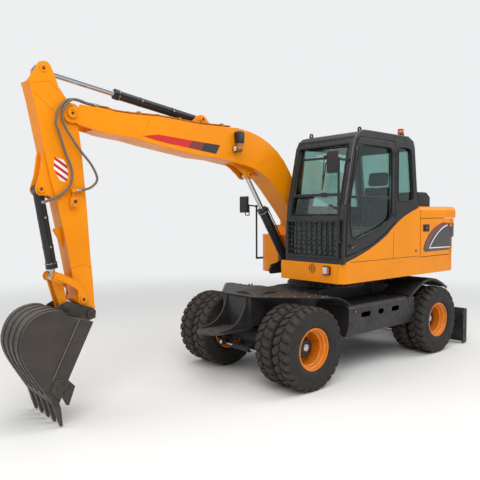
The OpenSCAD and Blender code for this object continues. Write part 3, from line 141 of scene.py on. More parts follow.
def add_node(
    tree: bpy.types.NodeTree, kind: str, links: dict | None = None, **settings: object
) -> bpy.types.Node:
    """Adds one node with its settings and links.

    Args:
        tree: node tree that gets the node.
        kind: Blender's name of the node class.
        links: input name or index to a constant, or to the output socket that feeds it.
        settings: attributes of the node.

    Returns:
        The new node.
    """
    node = tree.nodes.new(kind)
    for name, value in settings.items():
        setattr(node, name, value)
    for key, value in (links or {}).items():
        if isinstance(value, bpy.types.NodeSocket):
            tree.links.new(value, node.inputs[key])
        else:
            node.inputs[key].default_value = value
    return node


@dataclass(frozen=True)
class Finish:
    """A surface finish, from what the real material is and how it was made."""

    name: str
    colour: str
    roughness: float
    metallic: float = 0.0
    # Second colour, in soft patches of patch_mm, up to this share
    patch_colour: str = ""
    patch_mm: float = 200.0
    patch_share: float = 0.0
    # Fine relief: size of a grain and its height
    grain_mm: float = 3.0
    grain_height_mm: float = 0.0
    # Spread of the roughness over patches of smudge_mm
    smudge: float = 0.0
    smudge_mm: float = 60.0
    # Colour of dust that lies on faces that look upwards, and its share
    dust: str = ""
    dust_share: float = 0.0
    # Radius of the rounding that sheet and plate edges show
    edge_mm: float = 0.0
    specular: float = 0.5
    # Clear coat, with the roughness of its own surface
    coat: float = 0.0
    coat_roughness: float = 0.08
    sheen: float = 0.0
    transmission: float = 0.0
    ior: float = 1.5

    def material(self) -> bpy.types.Material:
        """Returns the Blender material of this finish, made on first use."""
        known = bpy.data.materials.get(self.name)
        return known if known else self._make()

    def _noise(self, tree: bpy.types.NodeTree, size_mm: float, detail: float = 3.0) -> bpy.types.Node:
        """Adds noise whose blobs are size_mm across, in object coordinates.

        Args:
            tree: node tree that gets the noise.
            size_mm: width of a blob.
            detail: how many finer layers it has.

        Returns:
            The noise node.
        """
        where = add_node(tree, "ShaderNodeTexCoord").outputs["Object"]
        return add_node(
            tree, "ShaderNodeTexNoise", {"Vector": where, "Scale": 1000.0 / size_mm, "Detail": detail}
        )

    def _colour_socket(self, tree: bpy.types.NodeTree) -> bpy.types.NodeSocket | None:
        """Mixes the patches and the dust into the colour, where the finish has them.

        Args:
            tree: node tree of the material.

        Returns:
            The socket, or None.
        """
        socket = None
        if self.patch_share > 0:
            blobs = self._noise(tree, self.patch_mm)
            share = add_node(
                tree,
                "ShaderNodeMapRange",
                {
                    "Value": blobs.outputs["Fac"], "From Min": 0.38,
                    "From Max": 0.68, "To Max": self.patch_share,
                },
            )
            mix = add_node(tree, "ShaderNodeMix", {"Factor": share.outputs["Result"]}, data_type="RGBA")
            mix.inputs[6].default_value = linear(self.colour)
            mix.inputs[7].default_value = linear(self.patch_colour)
            socket = mix.outputs[2]
        if self.dust_share > 0:
            facing = add_node(
                tree, "ShaderNodeSeparateXYZ",
                {0: add_node(tree, "ShaderNodeNewGeometry").outputs["Normal"]},
            )
            specks = self._noise(tree, 35.0, 5.0)
            up = add_node(
                tree,
                "ShaderNodeMapRange",
                {"Value": facing.outputs["Z"], "From Min": 0.2, "From Max": 1.0, "To Max": self.dust_share},
            )
            share = add_node(
                tree, "ShaderNodeMath", {0: up.outputs["Result"], 1: specks.outputs["Fac"]},
                operation="MULTIPLY",
            )
            mix = add_node(tree, "ShaderNodeMix", {"Factor": share.outputs[0]}, data_type="RGBA")
            if socket is None:
                mix.inputs[6].default_value = linear(self.colour)
            else:
                tree.links.new(socket, mix.inputs[6])
            mix.inputs[7].default_value = linear(self.dust)
            socket = mix.outputs[2]
        return socket

    def _make(self) -> bpy.types.Material:
        """Builds the material's nodes.

        Returns:
            The new material.
        """
        made = bpy.data.materials.new(self.name)
        made.use_nodes = True
        tree = made.node_tree
        shader = tree.nodes["Principled BSDF"]
        plain = {
            "Base Color": linear(self.colour),
            "Metallic": self.metallic,
            "Roughness": self.roughness,
            "Specular IOR Level": self.specular,
            "Coat Weight": self.coat,
            "Coat Roughness": self.coat_roughness,
            "Sheen Weight": self.sheen,
            "Transmission Weight": self.transmission,
        }
        for name, value in plain.items():
            shader.inputs[name].default_value = value
        if not self.metallic:
            shader.inputs["IOR"].default_value = self.ior
        socket = self._colour_socket(tree)
        if socket is not None:
            tree.links.new(socket, shader.inputs["Base Color"])
        if self.smudge > 0:
            spread = add_node(
                tree,
                "ShaderNodeMapRange",
                {
                    "Value": self._noise(tree, self.smudge_mm, 4.0).outputs["Fac"],
                    "From Min": 0.3,
                    "From Max": 0.7,
                    "To Min": max(0.02, self.roughness - self.smudge),
                    "To Max": min(1.0, self.roughness + self.smudge),
                },
            )
            tree.links.new(spread.outputs["Result"], shader.inputs["Roughness"])
        if self.edge_mm > 0:
            rounded = add_node(tree, "ShaderNodeBevel", {"Radius": self.edge_mm * MM}, samples=4)
            tree.links.new(rounded.outputs["Normal"], shader.inputs["Normal"])
        if self.grain_height_mm > 0:
            relief = add_node(
                tree,
                "ShaderNodeBump",
                {
                    "Height": self._noise(tree, self.grain_mm, 2.0).outputs["Fac"],
                    "Distance": self.grain_height_mm * MM,
                    "Strength": 1.0,
                },
            )
            if self.edge_mm > 0:
                tree.links.new(rounded.outputs["Normal"], relief.inputs["Normal"])
            tree.links.new(relief.outputs["Normal"], shader.inputs["Normal"])
        return made


# Alkyd enamel sprayed on steel: saturated orange, glossy, with faint orange peel and dull patches of handling
ORANGE_ENAMEL = Finish(
    "orange_enamel_sprayed", "f08f00", 0.36, patch_colour="e08100", patch_mm=420, patch_share=0.5,
    grain_mm=5, grain_height_mm=0.1, smudge=0.08, smudge_mm=150,
    dust="b59a70", dust_share=0.1, edge_mm=9, specular=0.22, coat=0.08,
)
# The same enamel on the rims, its colour darkened and reddened as painted shade of the dish
RIM_ENAMEL_PAINTED_SHADE = Finish(
    "orange_enamel_rim_painted_shade", "e5800a", 0.36, patch_colour="c96a08", patch_mm=90, patch_share=0.6,
    grain_mm=4, grain_height_mm=0.1, smudge=0.1, dust="8f7250", dust_share=0.3, coat=0.2,
)
# Orange paint on the hydraulic pipes, darkened to brown with dark brown patches as painted shade, and dust on
# the faces that look up
PIPE_PAINT_WITH_PAINTED_SHADE = Finish(
    "pipe_paint_dust_and_painted_shade", "b06a14", 0.5, patch_colour="6e4a22", patch_mm=70,
    patch_share=0.8, smudge=0.12, dust="6b5a45", dust_share=0.5,
)
# Black enamel on the cab's pressed steel: satin, a little grey in the light
BLACK_ENAMEL = Finish(
    "black_enamel_satin", "232224", 0.34, patch_colour="2f2d2d", patch_mm=180, patch_share=0.5,
    grain_mm=4, grain_height_mm=0.08, smudge=0.1, dust="5a544c",
    dust_share=0.2, edge_mm=9, specular=0.35, coat=0.1,
)
# The roof's gutter: the same enamel, lightened to grey as a painted highlight
GUTTER_ENAMEL_PAINTED_HIGHLIGHT = Finish("black_enamel_gutter_painted_highlight", "4b4849", 0.32, smudge=0.08, coat=0.2)
# Black chassis paint on plate steel: duller, with dust from the shop floor
CHASSIS_PAINT = Finish(
    "chassis_paint_black", "232122", 0.5, patch_colour="302d2b", patch_mm=140, patch_share=0.7,
    grain_mm=6, grain_height_mm=0.25, smudge=0.14, dust="6b6259", dust_share=0.4, edge_mm=6,
)
# Cast housings under the same paint: rough from the sand mould
CASTING = Finish(
    "sand_cast_iron_painted", "1f1e1e", 0.62, patch_colour="2c2927", patch_mm=60, patch_share=0.6,
    grain_mm=3, grain_height_mm=0.6, smudge=0.1, dust="5c534a", dust_share=0.5,
)
# Hard-chromed rods, ground and polished: bright, with faint bands of oil
HARD_CHROME = Finish("hard_chrome_ground", "b9bcc0", 0.14, 1.0, smudge=0.05, smudge_mm=40)
# Zinc-plated bolts, pins and pipes: pale and softly bright
ZINC_STEEL = Finish(
    "zinc_plated_steel", "a5a39c", 0.42, 0.9, patch_colour="7d7a72",
    patch_mm=14, patch_share=0.6, smudge=0.1, smudge_mm=9,
)
# Tyre rubber with carbon black, cured in a steel mould: matt and nearly black on the side walls
TYRE_RUBBER = Finish(
    "tyre_rubber_moulded", "1c1b19", 0.72, patch_colour="282420", patch_mm=50, patch_share=0.7,
    grain_mm=2.5, grain_height_mm=0.25, smudge=0.1,
)
# The same rubber on the tread blocks, scuffed and brown with dry soil
TREAD_RUBBER = Finish(
    "tyre_rubber_tread_dusty", "2b2621", 0.82, patch_colour="403730", patch_mm=35, patch_share=0.8,
    grain_mm=3, grain_height_mm=0.5, smudge=0.08,
)
# Wear-resistant bucket steel: dark paint rubbed to brown-grey metal
BUCKET_STEEL = Finish(
    "wear_plate_rubbed", "38332f", 0.5, 0.2, patch_colour="4a423b", patch_mm=160, patch_share=0.6,
    grain_mm=7, grain_height_mm=0.4, smudge=0.12, smudge_mm=45, dust="8d8371", dust_share=0.6, edge_mm=6,
)
# Weld beads left bare: pale grey-brown ripples
WELD_BEAD = Finish("weld_bead_bare", "857a6c", 0.5, 0.3, patch_colour="5f564c", patch_mm=12, patch_share=0.7)
# Bare steel of teeth and cutting edges, bright from the soil
EDGE_STEEL = Finish(
    "forged_steel_worn", "4a4641", 0.48, 0.5, patch_colour="4a4038",
    patch_mm=30, patch_share=0.8, smudge=0.12,
    grain_mm=5, grain_height_mm=0.4,
)
# ABS and polypropylene, injection moulded: mirrors, lamps and ducts, matt black with a fine grain
BLACK_ABS = Finish(
    "black_abs_moulded", "1c1c1e", 0.48, grain_mm=1.6,
    grain_height_mm=0.08, smudge=0.06, dust="4a4640", dust_share=0.2,
)
# The same plastic dyed dark grey, for the consoles and panels in the cab
GREY_ABS = Finish(
    "grey_abs_moulded", "2c2d30", 0.55, grain_mm=1.6, grain_height_mm=0.08, smudge=0.06,
)
# Extruded EPDM rubber of seals, bellows and mats: dull and black
SEAL_RUBBER = Finish("epdm_seal_rubber", "161617", 0.7, smudge=0.06)
# Hydraulic hose in a woven nylon sleeve: brown-grey, with a fine weave that dust has settled in
HOSE_SLEEVE = Finish(
    "hose_with_woven_sleeve", "5d524b", 0.6, patch_colour="7d6f66",
    patch_mm=9, patch_share=0.9, grain_mm=2.2, grain_height_mm=0.5,
)
# Laminated cab glass: clear with a green cast
CAB_GLASS = Finish("laminated_glass_green", "a9c9c4", 0.03, transmission=1.0, smudge=0.015, smudge_mm=300)
# Float glass silvered on its back: clear and bright
MIRROR_GLASS = Finish("mirror_glass_silvered", "d9dde0", 0.04, 1.0)
# Polycarbonate lenses, moulded and hard coated: glossy, and pale, amber or red right through
LAMP_LENS = Finish("lamp_lens_polycarbonate", "f3f1ea", 0.12, transmission=0.35, ior=1.58, coat=0.4)
AMBER_LENS = Finish("indicator_lens_amber", "e8650a", 0.16, transmission=0.2, ior=1.58, coat=0.5)
RED_LENS = Finish("tail_lens_red", "b3130f", 0.16, transmission=0.2, ior=1.58, coat=0.5)
# Cast vinyl film of the stripes, cut and laid on the enamel: even colours under a glossy cover
RED_FILM = Finish("vinyl_film_red", "c8201c", 0.3, coat=0.4)
WHITE_FILM = Finish("vinyl_film_white", "eceae4", 0.32, coat=0.4)
DARK_FILM = Finish("vinyl_film_charcoal", "2b2a2d", 0.3, coat=0.4)
MAROON_FILM = Finish("vinyl_film_deep_red", "7d2b2c", 0.3, coat=0.4)
# Polyester seat cloth woven from two greys, over foam: dull, with a soft pale rim of light
SEAT_CLOTH = Finish(
    "woven_seat_cloth", "3a3b40", 0.9, patch_colour="2b2c30", patch_mm=5,
    patch_share=0.9, grain_mm=2.5, grain_height_mm=0.6, sheen=0.4,
)
# Foam-backed vinyl of the armrests, embossed with a leather grain: half dull
SEAT_VINYL = Finish("seat_vinyl_embossed", "26272a", 0.5, grain_mm=1.8, grain_height_mm=0.12)
# Cover glass of the monitor, ground smooth: dark and glossy
SCREEN_GLASS = Finish("display_glass_dark", "0c0f12", 0.08, coat=0.6)
# Grey cast iron of the engine block, rough from the sand mould
ENGINE_IRON = Finish("engine_cast_iron", "3a3a3a", 0.6, 0.4, grain_mm=4, grain_height_mm=0.6)


class Piece:
    """Collects mesh parts in millimetres and turns them into one object."""

    def __init__(self, name: str, body: Body, slot: str) -> None:
        """Starts an empty piece.

        Args:
            name: name of the object.
            body: CAD body that it rides on.
            slot: material slot of the record; it is not used.
        """
        self.name = name
        self.body = body
        self.slot = slot
        self.mesh = bmesh.new()
        self.finishes: list[Finish] = []

    def add(self, part: bmesh.types.BMesh, finish: Finish, turn: Matrix | None = None) -> None:
        """Adds a finished part and frees it.

        Args:
            part: mesh of the part, in millimetres.
            finish: its finish.
            turn: a transform for it.
        """
        if finish not in self.finishes:
            self.finishes.append(finish)
        index = self.finishes.index(finish)
        for face in part.faces:
            face.material_index = index
        if turn is not None:
            part.transform(turn)
        bmesh.ops.recalc_face_normals(part, faces=part.faces)
        carrier = bpy.data.meshes.new("part")
        part.to_mesh(carrier)
        part.free()
        self.mesh.from_mesh(carrier)
        bpy.data.meshes.remove(carrier)

    def box(
        self, low: Point, high: Point, finish: Finish,
        bevel: float = 2.0, steps: int = 2, turn: Matrix | None = None,
    ) -> Piece:
        """Adds a block with rounded edges between two corners.

        Args:
            low: lowest corner.
            high: highest corner.
            finish: its finish.
            bevel: radius of the rounded edges.
            steps: segments of the rounding.
            turn: a transform for the finished part.

        Returns:
            The piece itself.
        """
        part = bmesh.new()
        bmesh.ops.create_cube(part, size=1.0)
        for vert in part.verts:
            vert.co = Vector([low[i] + (vert.co[i] + 0.5) * (high[i] - low[i]) for i in range(3)])
        self.bevel(part, bevel, steps)
        self.add(part, finish, turn)
        return self

    @staticmethod
    def bevel(part: bmesh.types.BMesh, width: float, steps: int, angle: float = 0.35) -> None:
        """Rounds the edges of a part.

        Args:
            part: mesh of the part.
            width: radius of the rounding; 0 leaves the edges sharp.
            steps: segments of the rounding.
            angle: edges that bend less than this stay as they are, in radians.
        """
        if width <= 0:
            return
        sharp = [e for e in part.edges if len(e.link_faces) == 2 and e.calc_face_angle(0.0) > angle]
        bmesh.ops.bevel(
            part, geom=sharp, offset=width, segments=steps, affect="EDGES", profile=0.6, clamp_overlap=True
        )

    def prism(
        self, outline: Sequence[Point], start: float, end: float, finish: Finish,
        bevel: float = 1.5, axis: str = "y", steps: int = 2, turn: Matrix | None = None,
    ) -> Piece:
        """Adds an outline extruded along an axis.

        Args:
            outline: points in the plane across the axis, as (x, z) for y, (y, z) for x and (x, y) for z.
            start: where the prism begins on the axis.
            end: where it ends.
            finish: its finish.
            bevel: radius of the rounded edges.
            axis: "x", "y" or "z".
            steps: segments of the rounding.
            turn: a transform for the finished part.

        Returns:
            The piece itself.
        """
        place = {
            "y": lambda p, h: (p[0], h, p[1]),
            "x": lambda p, h: (h, p[0], p[1]),
            "z": lambda p, h: (p[0], p[1], h),
        }[axis]
        part = bmesh.new()
        rings = [[part.verts.new(place(p, h)) for p in outline] for h in (start, end)]
        part.faces.new(rings[0])
        part.faces.new(rings[1][::-1])
        count = len(outline)
        for i in range(count):
            j = (i + 1) % count
            part.faces.new((rings[0][i], rings[1][i], rings[1][j], rings[0][j]))
        bmesh.ops.recalc_face_normals(part, faces=part.faces)
        self.bevel(part, bevel, steps)
        self.add(part, finish, turn)
        return self

    def lathe(
        self, profile: Sequence[Point], centre: Point, axis: Point, finish: Finish,
        steps: int = 32, closed: bool = False,
    ) -> Piece:
        """Adds a turned part.

        Args:
            profile: points as (radius, distance along the axis).
            centre: point of the axis at distance 0.
            axis: direction of the axis.
            finish: its finish.
            steps: segments round the axis.
            closed: whether the profile closes on itself, as for a ring.

        Returns:
            The piece itself.
        """
        part = bmesh.new()
        turn = Vector(axis).to_track_quat("Z", "Y").to_matrix()
        rings = []
        for radius, along in profile:
            if radius < 1e-6:
                rings.append([part.verts.new(Vector(centre) + turn @ Vector((0, 0, along)))])
                continue
            ring = []
            for k in range(steps):
                angle = 2 * math.pi * k / steps
                offset = Vector((radius * math.cos(angle), radius * math.sin(angle), along))
                ring.append(part.verts.new(Vector(centre) + turn @ offset))
            rings.append(ring)
        pairs = list(zip(rings, rings[1:]))
        if closed:
            pairs.append((rings[-1], rings[0]))
        for lower, upper in pairs:
            for k in range(steps):
                m = (k + 1) % steps
                corners = [
                    lower[k % len(lower)], lower[m % len(lower)],
                    upper[m % len(upper)], upper[k % len(upper)],
                ]
                unique = list(dict.fromkeys(corners))
                if len(unique) > 2:
                    part.faces.new(unique)
        self.add(part, finish, None)
        return self

    def tube(
        self, path: Sequence[Point], radius: float, finish: Finish, sides: int = 12, loop: bool = False
    ) -> Piece:
        """Adds a round bar that follows a path, with flat ends.

        Args:
            path: points of its middle line.
            radius: its radius.
            finish: its finish.
            sides: corners of its section.
            loop: whether the path closes on itself.

        Returns:
            The piece itself.
        """
        part = bmesh.new()
        points = [Vector(p) for p in path]
        count = len(points)
        side = None
        rings = []
        for i, point in enumerate(points):
            before = points[i - 1] if i or loop else point
            after = points[(i + 1) % count] if i < count - 1 or loop else point
            along = (after - before).normalized()
            if side is None:
                side = along.orthogonal().normalized()
            side = (side - along * side.dot(along)).normalized()
            other = along.cross(side)
            rings.append([
                part.verts.new(point + radius * (math.cos(a) * side + math.sin(a) * other))
                for a in (2 * math.pi * k / sides for k in range(sides))
            ])
        pairs = list(zip(rings, rings[1:]))
        if loop:
            pairs.append((rings[-1], rings[0]))
        else:
            part.faces.new(rings[0][::-1])
            part.faces.new(rings[-1])
        for lower, upper in pairs:
            for k in range(sides):
                m = (k + 1) % sides
                part.faces.new((lower[k], lower[m], upper[m], upper[k]))
        self.add(part, finish, None)
        return self

    def bolt(self, centre: Point, axis: Point, width: float = 18.0, finish: Finish = ZINC_STEEL) -> Piece:
        """Adds a hexagon head with its washer.

        Args:
            centre: where the washer seats.
            axis: direction that the head points in.
            width: width of the head over its corners.
            finish: its finish.

        Returns:
            The piece itself.
        """
        r = width / 2
        self.lathe([(r * 1.25, 0), (r * 1.25, r * 0.2), (0, r * 0.2)], centre, axis, finish, 16)
        self.lathe([(r, r * 0.2), (r * 1.1, r * 0.8), (r * 0.85, r), (0, r)], centre, axis, finish, 6)
        return self

    def plug(
        self, centre: Point, axis: Point, radius: float, height: float, chamfer: Point, finish: Finish,
        steps: int,
    ) -> Piece:
        """Adds a round plug or cap with a chamfered rim.

        Args:
            centre: middle of its foot.
            axis: direction that it points in.
            radius: its radius.
            height: its height.
            chamfer: how far the rim's slope runs inwards, and how far down.
            finish: its finish.
            steps: segments round the axis.

        Returns:
            The piece itself.
        """
        inwards, down = chamfer
        profile = [(0, 0), (radius, 0), (radius, height - down), (radius - inwards, height), (0, height)]
        return self.lathe(profile, centre, axis, finish, steps)

    def made(self, smooth: float = 0.6) -> bpy.types.Object:
        """Makes the object and shades it, without a body to ride on.

        Args:
            smooth: edges flatter than this angle, in radians, are shaded smooth.

        Returns:
            The object.
        """
        self.mesh.transform(Matrix.Scale(MM, 4) @ Matrix.Translation((-FRAME_X, 0, 0)))
        data = bpy.data.meshes.new(self.name)
        self.mesh.to_mesh(data)
        self.mesh.free()
        for finish in self.finishes:
            data.materials.append(finish.material())
        data.polygons.foreach_set("use_smooth", [True] * len(data.polygons))
        data.set_sharp_from_angle(angle=smooth)
        made = bpy.data.objects.new(self.name, data)
        bpy.context.scene.collection.objects.link(made)
        LOG.info("%s: %d faces on %s", self.name, len(data.polygons), self.body.value)
        return made

    def done(self, smooth: float = 0.6) -> bpy.types.Object:
        """Makes the object and lets it ride on its body."""
        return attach(self.made(smooth), self.body.value)


def smooth_path(points: Sequence[Point], steps: int = 6) -> list[Vector]:
    """Returns points of a smooth curve through the given ones.

    Args:
        points: the route.
        steps: points for each stretch.

    Returns:
        The curve's points, the last one included.
    """
    route = [Vector(p) for p in points]
    found = []
    for i in range(len(route) - 1):
        a, b, c = route[max(i - 1, 0)], route[i], route[i + 1]
        d = route[min(i + 2, len(route) - 1)]
        for k in range(steps):
            t = k / steps
            square, cube = 2 * a - 5 * b + 4 * c - d, 3 * b - a - 3 * c + d
            found.append(0.5 * (2 * b + (c - a) * t + square * t * t + cube * t**3))
    found.append(route[-1])
    return found


@dataclass
class Studio:
    """The plain floor, the soft light and the camera at the photograph's viewing angle."""

    position: Point = (5348.0, 4567.0, 1804.0)
    yaw: float = -130.633
    pitch: float = 2.653
    roll: float = -0.263
    lens_px: float = 546.7
    frame_px: float = 480.0
    sensor_mm: float = 36.0
    backdrop: str = "eeeff0"
    world_colour: str = "eef1f5"
    world_strength: float = 0.5
    # Half the side of the floor, and where it fades into the backdrop, in metres
    floor_half: float = 60.0
    fade: Point = (3.5, 11.0)
    # Name, place, size in metres and power in watts of each soft lamp
    lamps: tuple[tuple, ...] = (
        ("key", (4.2, 4.8, 7.0), 6.0, 400.0),
        ("fill", (6.5, -3.0, 4.5), 5.0, 110.0),
        ("back", (-5.0, 3.5, 6.0), 5.0, 220.0),
        ("top", (0.5, 0.0, 8.0), 7.0, 230.0),
    )
    # Point that the lamps look at, in metres
    target: Point = (0.0, 0.0, 1.2)

    def build(self) -> None:
        """Builds the floor, the lamps, the world and the camera."""
        self._camera()
        self._floor()
        self._lamps()
        bpy.context.scene.view_settings.view_transform = "Standard"

    def _camera(self) -> None:
        """Sets the camera as it was fitted to the photograph."""
        data = bpy.data.cameras.new("camera")
        data.sensor_width = self.sensor_mm
        data.lens = self.sensor_mm * self.lens_px / self.frame_px
        yaw, pitch, roll = (math.radians(v) for v in (self.yaw, self.pitch, self.roll))
        forward = Vector((math.cos(yaw) * math.cos(pitch), math.sin(yaw) * math.cos(pitch), -math.sin(pitch)))
        right = forward.cross(Vector(UP)).normalized()
        up = right.cross(forward)
        side = right * math.cos(roll) + up * math.sin(roll)
        top = -right * math.sin(roll) + up * math.cos(roll)
        turn = Matrix((side, top, -forward)).transposed()
        made = bpy.data.objects.new("camera", data)
        place = Vector(self.position) * MM - Vector((FRAME_X * MM, 0, 0))
        made.matrix_world = Matrix.Translation(place) @ turn.to_4x4()
        bpy.context.scene.collection.objects.link(made)
        bpy.context.scene.camera = made

    def _floor(self) -> None:
        """Lays the pale floor, which is white to the camera."""
        mesh = bmesh.new()
        bmesh.ops.create_grid(mesh, x_segments=1, y_segments=1, size=self.floor_half)
        data = bpy.data.meshes.new("floor")
        mesh.to_mesh(data)
        mesh.free()
        made = bpy.data.objects.new("floor", data)
        bpy.context.scene.collection.objects.link(made)
        # Painted concrete of a plain studio, pale grey and matt; far off it goes over into the pale backdrop
        finish = Finish("studio_floor_pale", "e9e8e5", 0.7)
        material = finish.material()
        tree = material.node_tree
        where = add_node(tree, "ShaderNodeNewGeometry").outputs["Position"]
        distance = add_node(tree, "ShaderNodeVectorMath", {0: where}, operation="LENGTH").outputs["Value"]
        far = add_node(
            tree, "ShaderNodeMapRange",
            {"Value": distance, "From Min": self.fade[0], "From Max": self.fade[1]},
            interpolation_type="SMOOTHSTEP",
        )
        path = add_node(tree, "ShaderNodeLightPath").outputs
        mirrored = add_node(
            tree, "ShaderNodeMath",
            {0: path["Is Glossy Ray"], 1: path["Is Transmission Ray"]}, operation="MAXIMUM",
        )
        seen = add_node(
            tree, "ShaderNodeMath", {0: path["Is Camera Ray"], 1: mirrored.outputs[0]}, operation="MAXIMUM"
        )
        share = add_node(
            tree, "ShaderNodeMath", {0: far.outputs["Result"], 1: seen.outputs[0]}, operation="MULTIPLY"
        )
        glow = add_node(tree, "ShaderNodeEmission", {"Color": linear(self.backdrop), "Strength": 1.0})
        plain = tree.nodes["Principled BSDF"].outputs[0]
        mixed = add_node(tree, "ShaderNodeMixShader", {0: share.outputs[0], 1: plain, 2: glow.outputs[0]})
        tree.links.new(mixed.outputs[0], tree.nodes["Material Output"].inputs["Surface"])
        data.materials.append(material)

    def _lamps(self) -> None:
        """Hangs the soft lamps and sets the world's light."""
        world = bpy.data.worlds.new("studio")
        bpy.context.scene.world = world
        world.use_nodes = True
        tree = world.node_tree
        background = tree.nodes["Background"]
        background.inputs["Color"].default_value = linear(self.world_colour)
        background.inputs["Strength"].default_value = self.world_strength
        plain = add_node(tree, "ShaderNodeBackground", {"Color": linear(self.backdrop), "Strength": 1.0})
        path = add_node(tree, "ShaderNodeLightPath")
        seen = add_node(
            tree, "ShaderNodeMath",
            {0: path.outputs["Is Camera Ray"], 1: path.outputs["Is Transmission Ray"]},
            operation="MAXIMUM",
        )
        mixed = add_node(
            tree, "ShaderNodeMixShader", {0: seen.outputs[0], 1: background.outputs[0], 2: plain.outputs[0]}
        )
        tree.links.new(mixed.outputs[0], tree.nodes["World Output"].inputs["Surface"])
        for name, place, size, watts in self.lamps:
            data = bpy.data.lights.new(name, "AREA")
            data.size = size
            data.energy = watts
            made = bpy.data.objects.new(name, data)
            made.location = place
            made.rotation_euler = (Vector(self.target) - Vector(place)).to_track_quat("-Z", "Y").to_euler()
            bpy.context.scene.collection.objects.link(made)


def strip(points: Sequence[Point], width: float) -> list[Point]:
    """Outlines a band of even width that follows points in a plane.

    Args:
        points: middle line of the band.
        width: its width.

    Returns:
        The outline, one side there and the other side back.
    """
    line = [Vector(p) for p in points]
    sides: list[list[Point]] = [[], []]
    for i, point in enumerate(line):
        along = (line[min(i + 1, len(line) - 1)] - line[max(i - 1, 0)]).normalized()
        across = Vector((-along.y, along.x)) * width / 2
        sides[0].append(tuple(point + across))
        sides[1].append(tuple(point - across))
    return sides[0] + sides[1][::-1]


def arc(centre: Point, radius: float, start: float, end: float, steps: int = 6) -> list[Point]:
    """Draws an arc about a centre in a plane.

    Args:
        centre: middle of the arc.
        radius: its radius.
        start: where it begins, in degrees.
        end: where it ends.
        steps: stretches of the arc.

    Returns:
        The points, both ends included.
    """
    angles = [math.radians(start + (end - start) * i / steps) for i in range(steps + 1)]
    return [(centre[0] + radius * math.cos(a), centre[1] + radius * math.sin(a)) for a in angles]


def circle(radius: float, count: int, phase: float = 0.0) -> list[Point]:
    """Spreads points evenly on a circle about the origin of a plane.

    Args:
        radius: radius of the circle.
        count: how many points it has.
        phase: turn of the first point, as a share of the step between two.

    Returns:
        The points.
    """
    angles = [2 * math.pi * (i + phase) / count for i in range(count)]
    return [(radius * math.cos(a), radius * math.sin(a)) for a in angles]


def film_ends(y: float, out: int) -> list[float]:
    """Returns where a film begins and ends on the face at y, whose normal has the sign of out."""
    return sorted((y + out * 0.3, y + out * 0.9))


def weld_seams(
    name: str, body: Body, faces: Sequence[float], lines: Sequence[Sequence[Point]], steps: int, radius: float
) -> None:
    """Lays painted weld seams on side faces.

    Args:
        name: name of the piece.
        body: body that it rides on.
        faces: y of each face.
        lines: routes of the seams, as (x, z).
        steps: points for each stretch of a route.
        radius: radius of the bead.
    """
    piece = Piece(name, body, "orange_paint")
    for y in faces:
        for line in lines:
            piece.tube(smooth_path([(x, y, z) for x, z in line], steps), radius, ORANGE_ENAMEL, 8)
    piece.done()


def pin_caps(piece: Piece, side: Side, pins: Sequence[Point], bolt: float) -> None:
    """Caps pins of the boom or the arm on one side with a turned ring and a bolt.

    Args:
        piece: piece that gets the caps.
        side: side of the boom.
        pins: for each pin its x and z, its end's distance from the middle plane and the cap's radius.
        bolt: width of the bolt.
    """
    for x, z, out, r in pins:
        y = BOOM_Y + side * out
        ring = [(0, 0), (r, 0), (r, 4), (r - 4, 7), (r - 14, 7), (r - 16, 3), (0, 3)]
        piece.lathe(ring, (x, y, z), (0, side, 0), ORANGE_ENAMEL, 36)
        piece.bolt((x, y + side * 3, z), (0, side, 0), bolt, BLACK_ENAMEL)


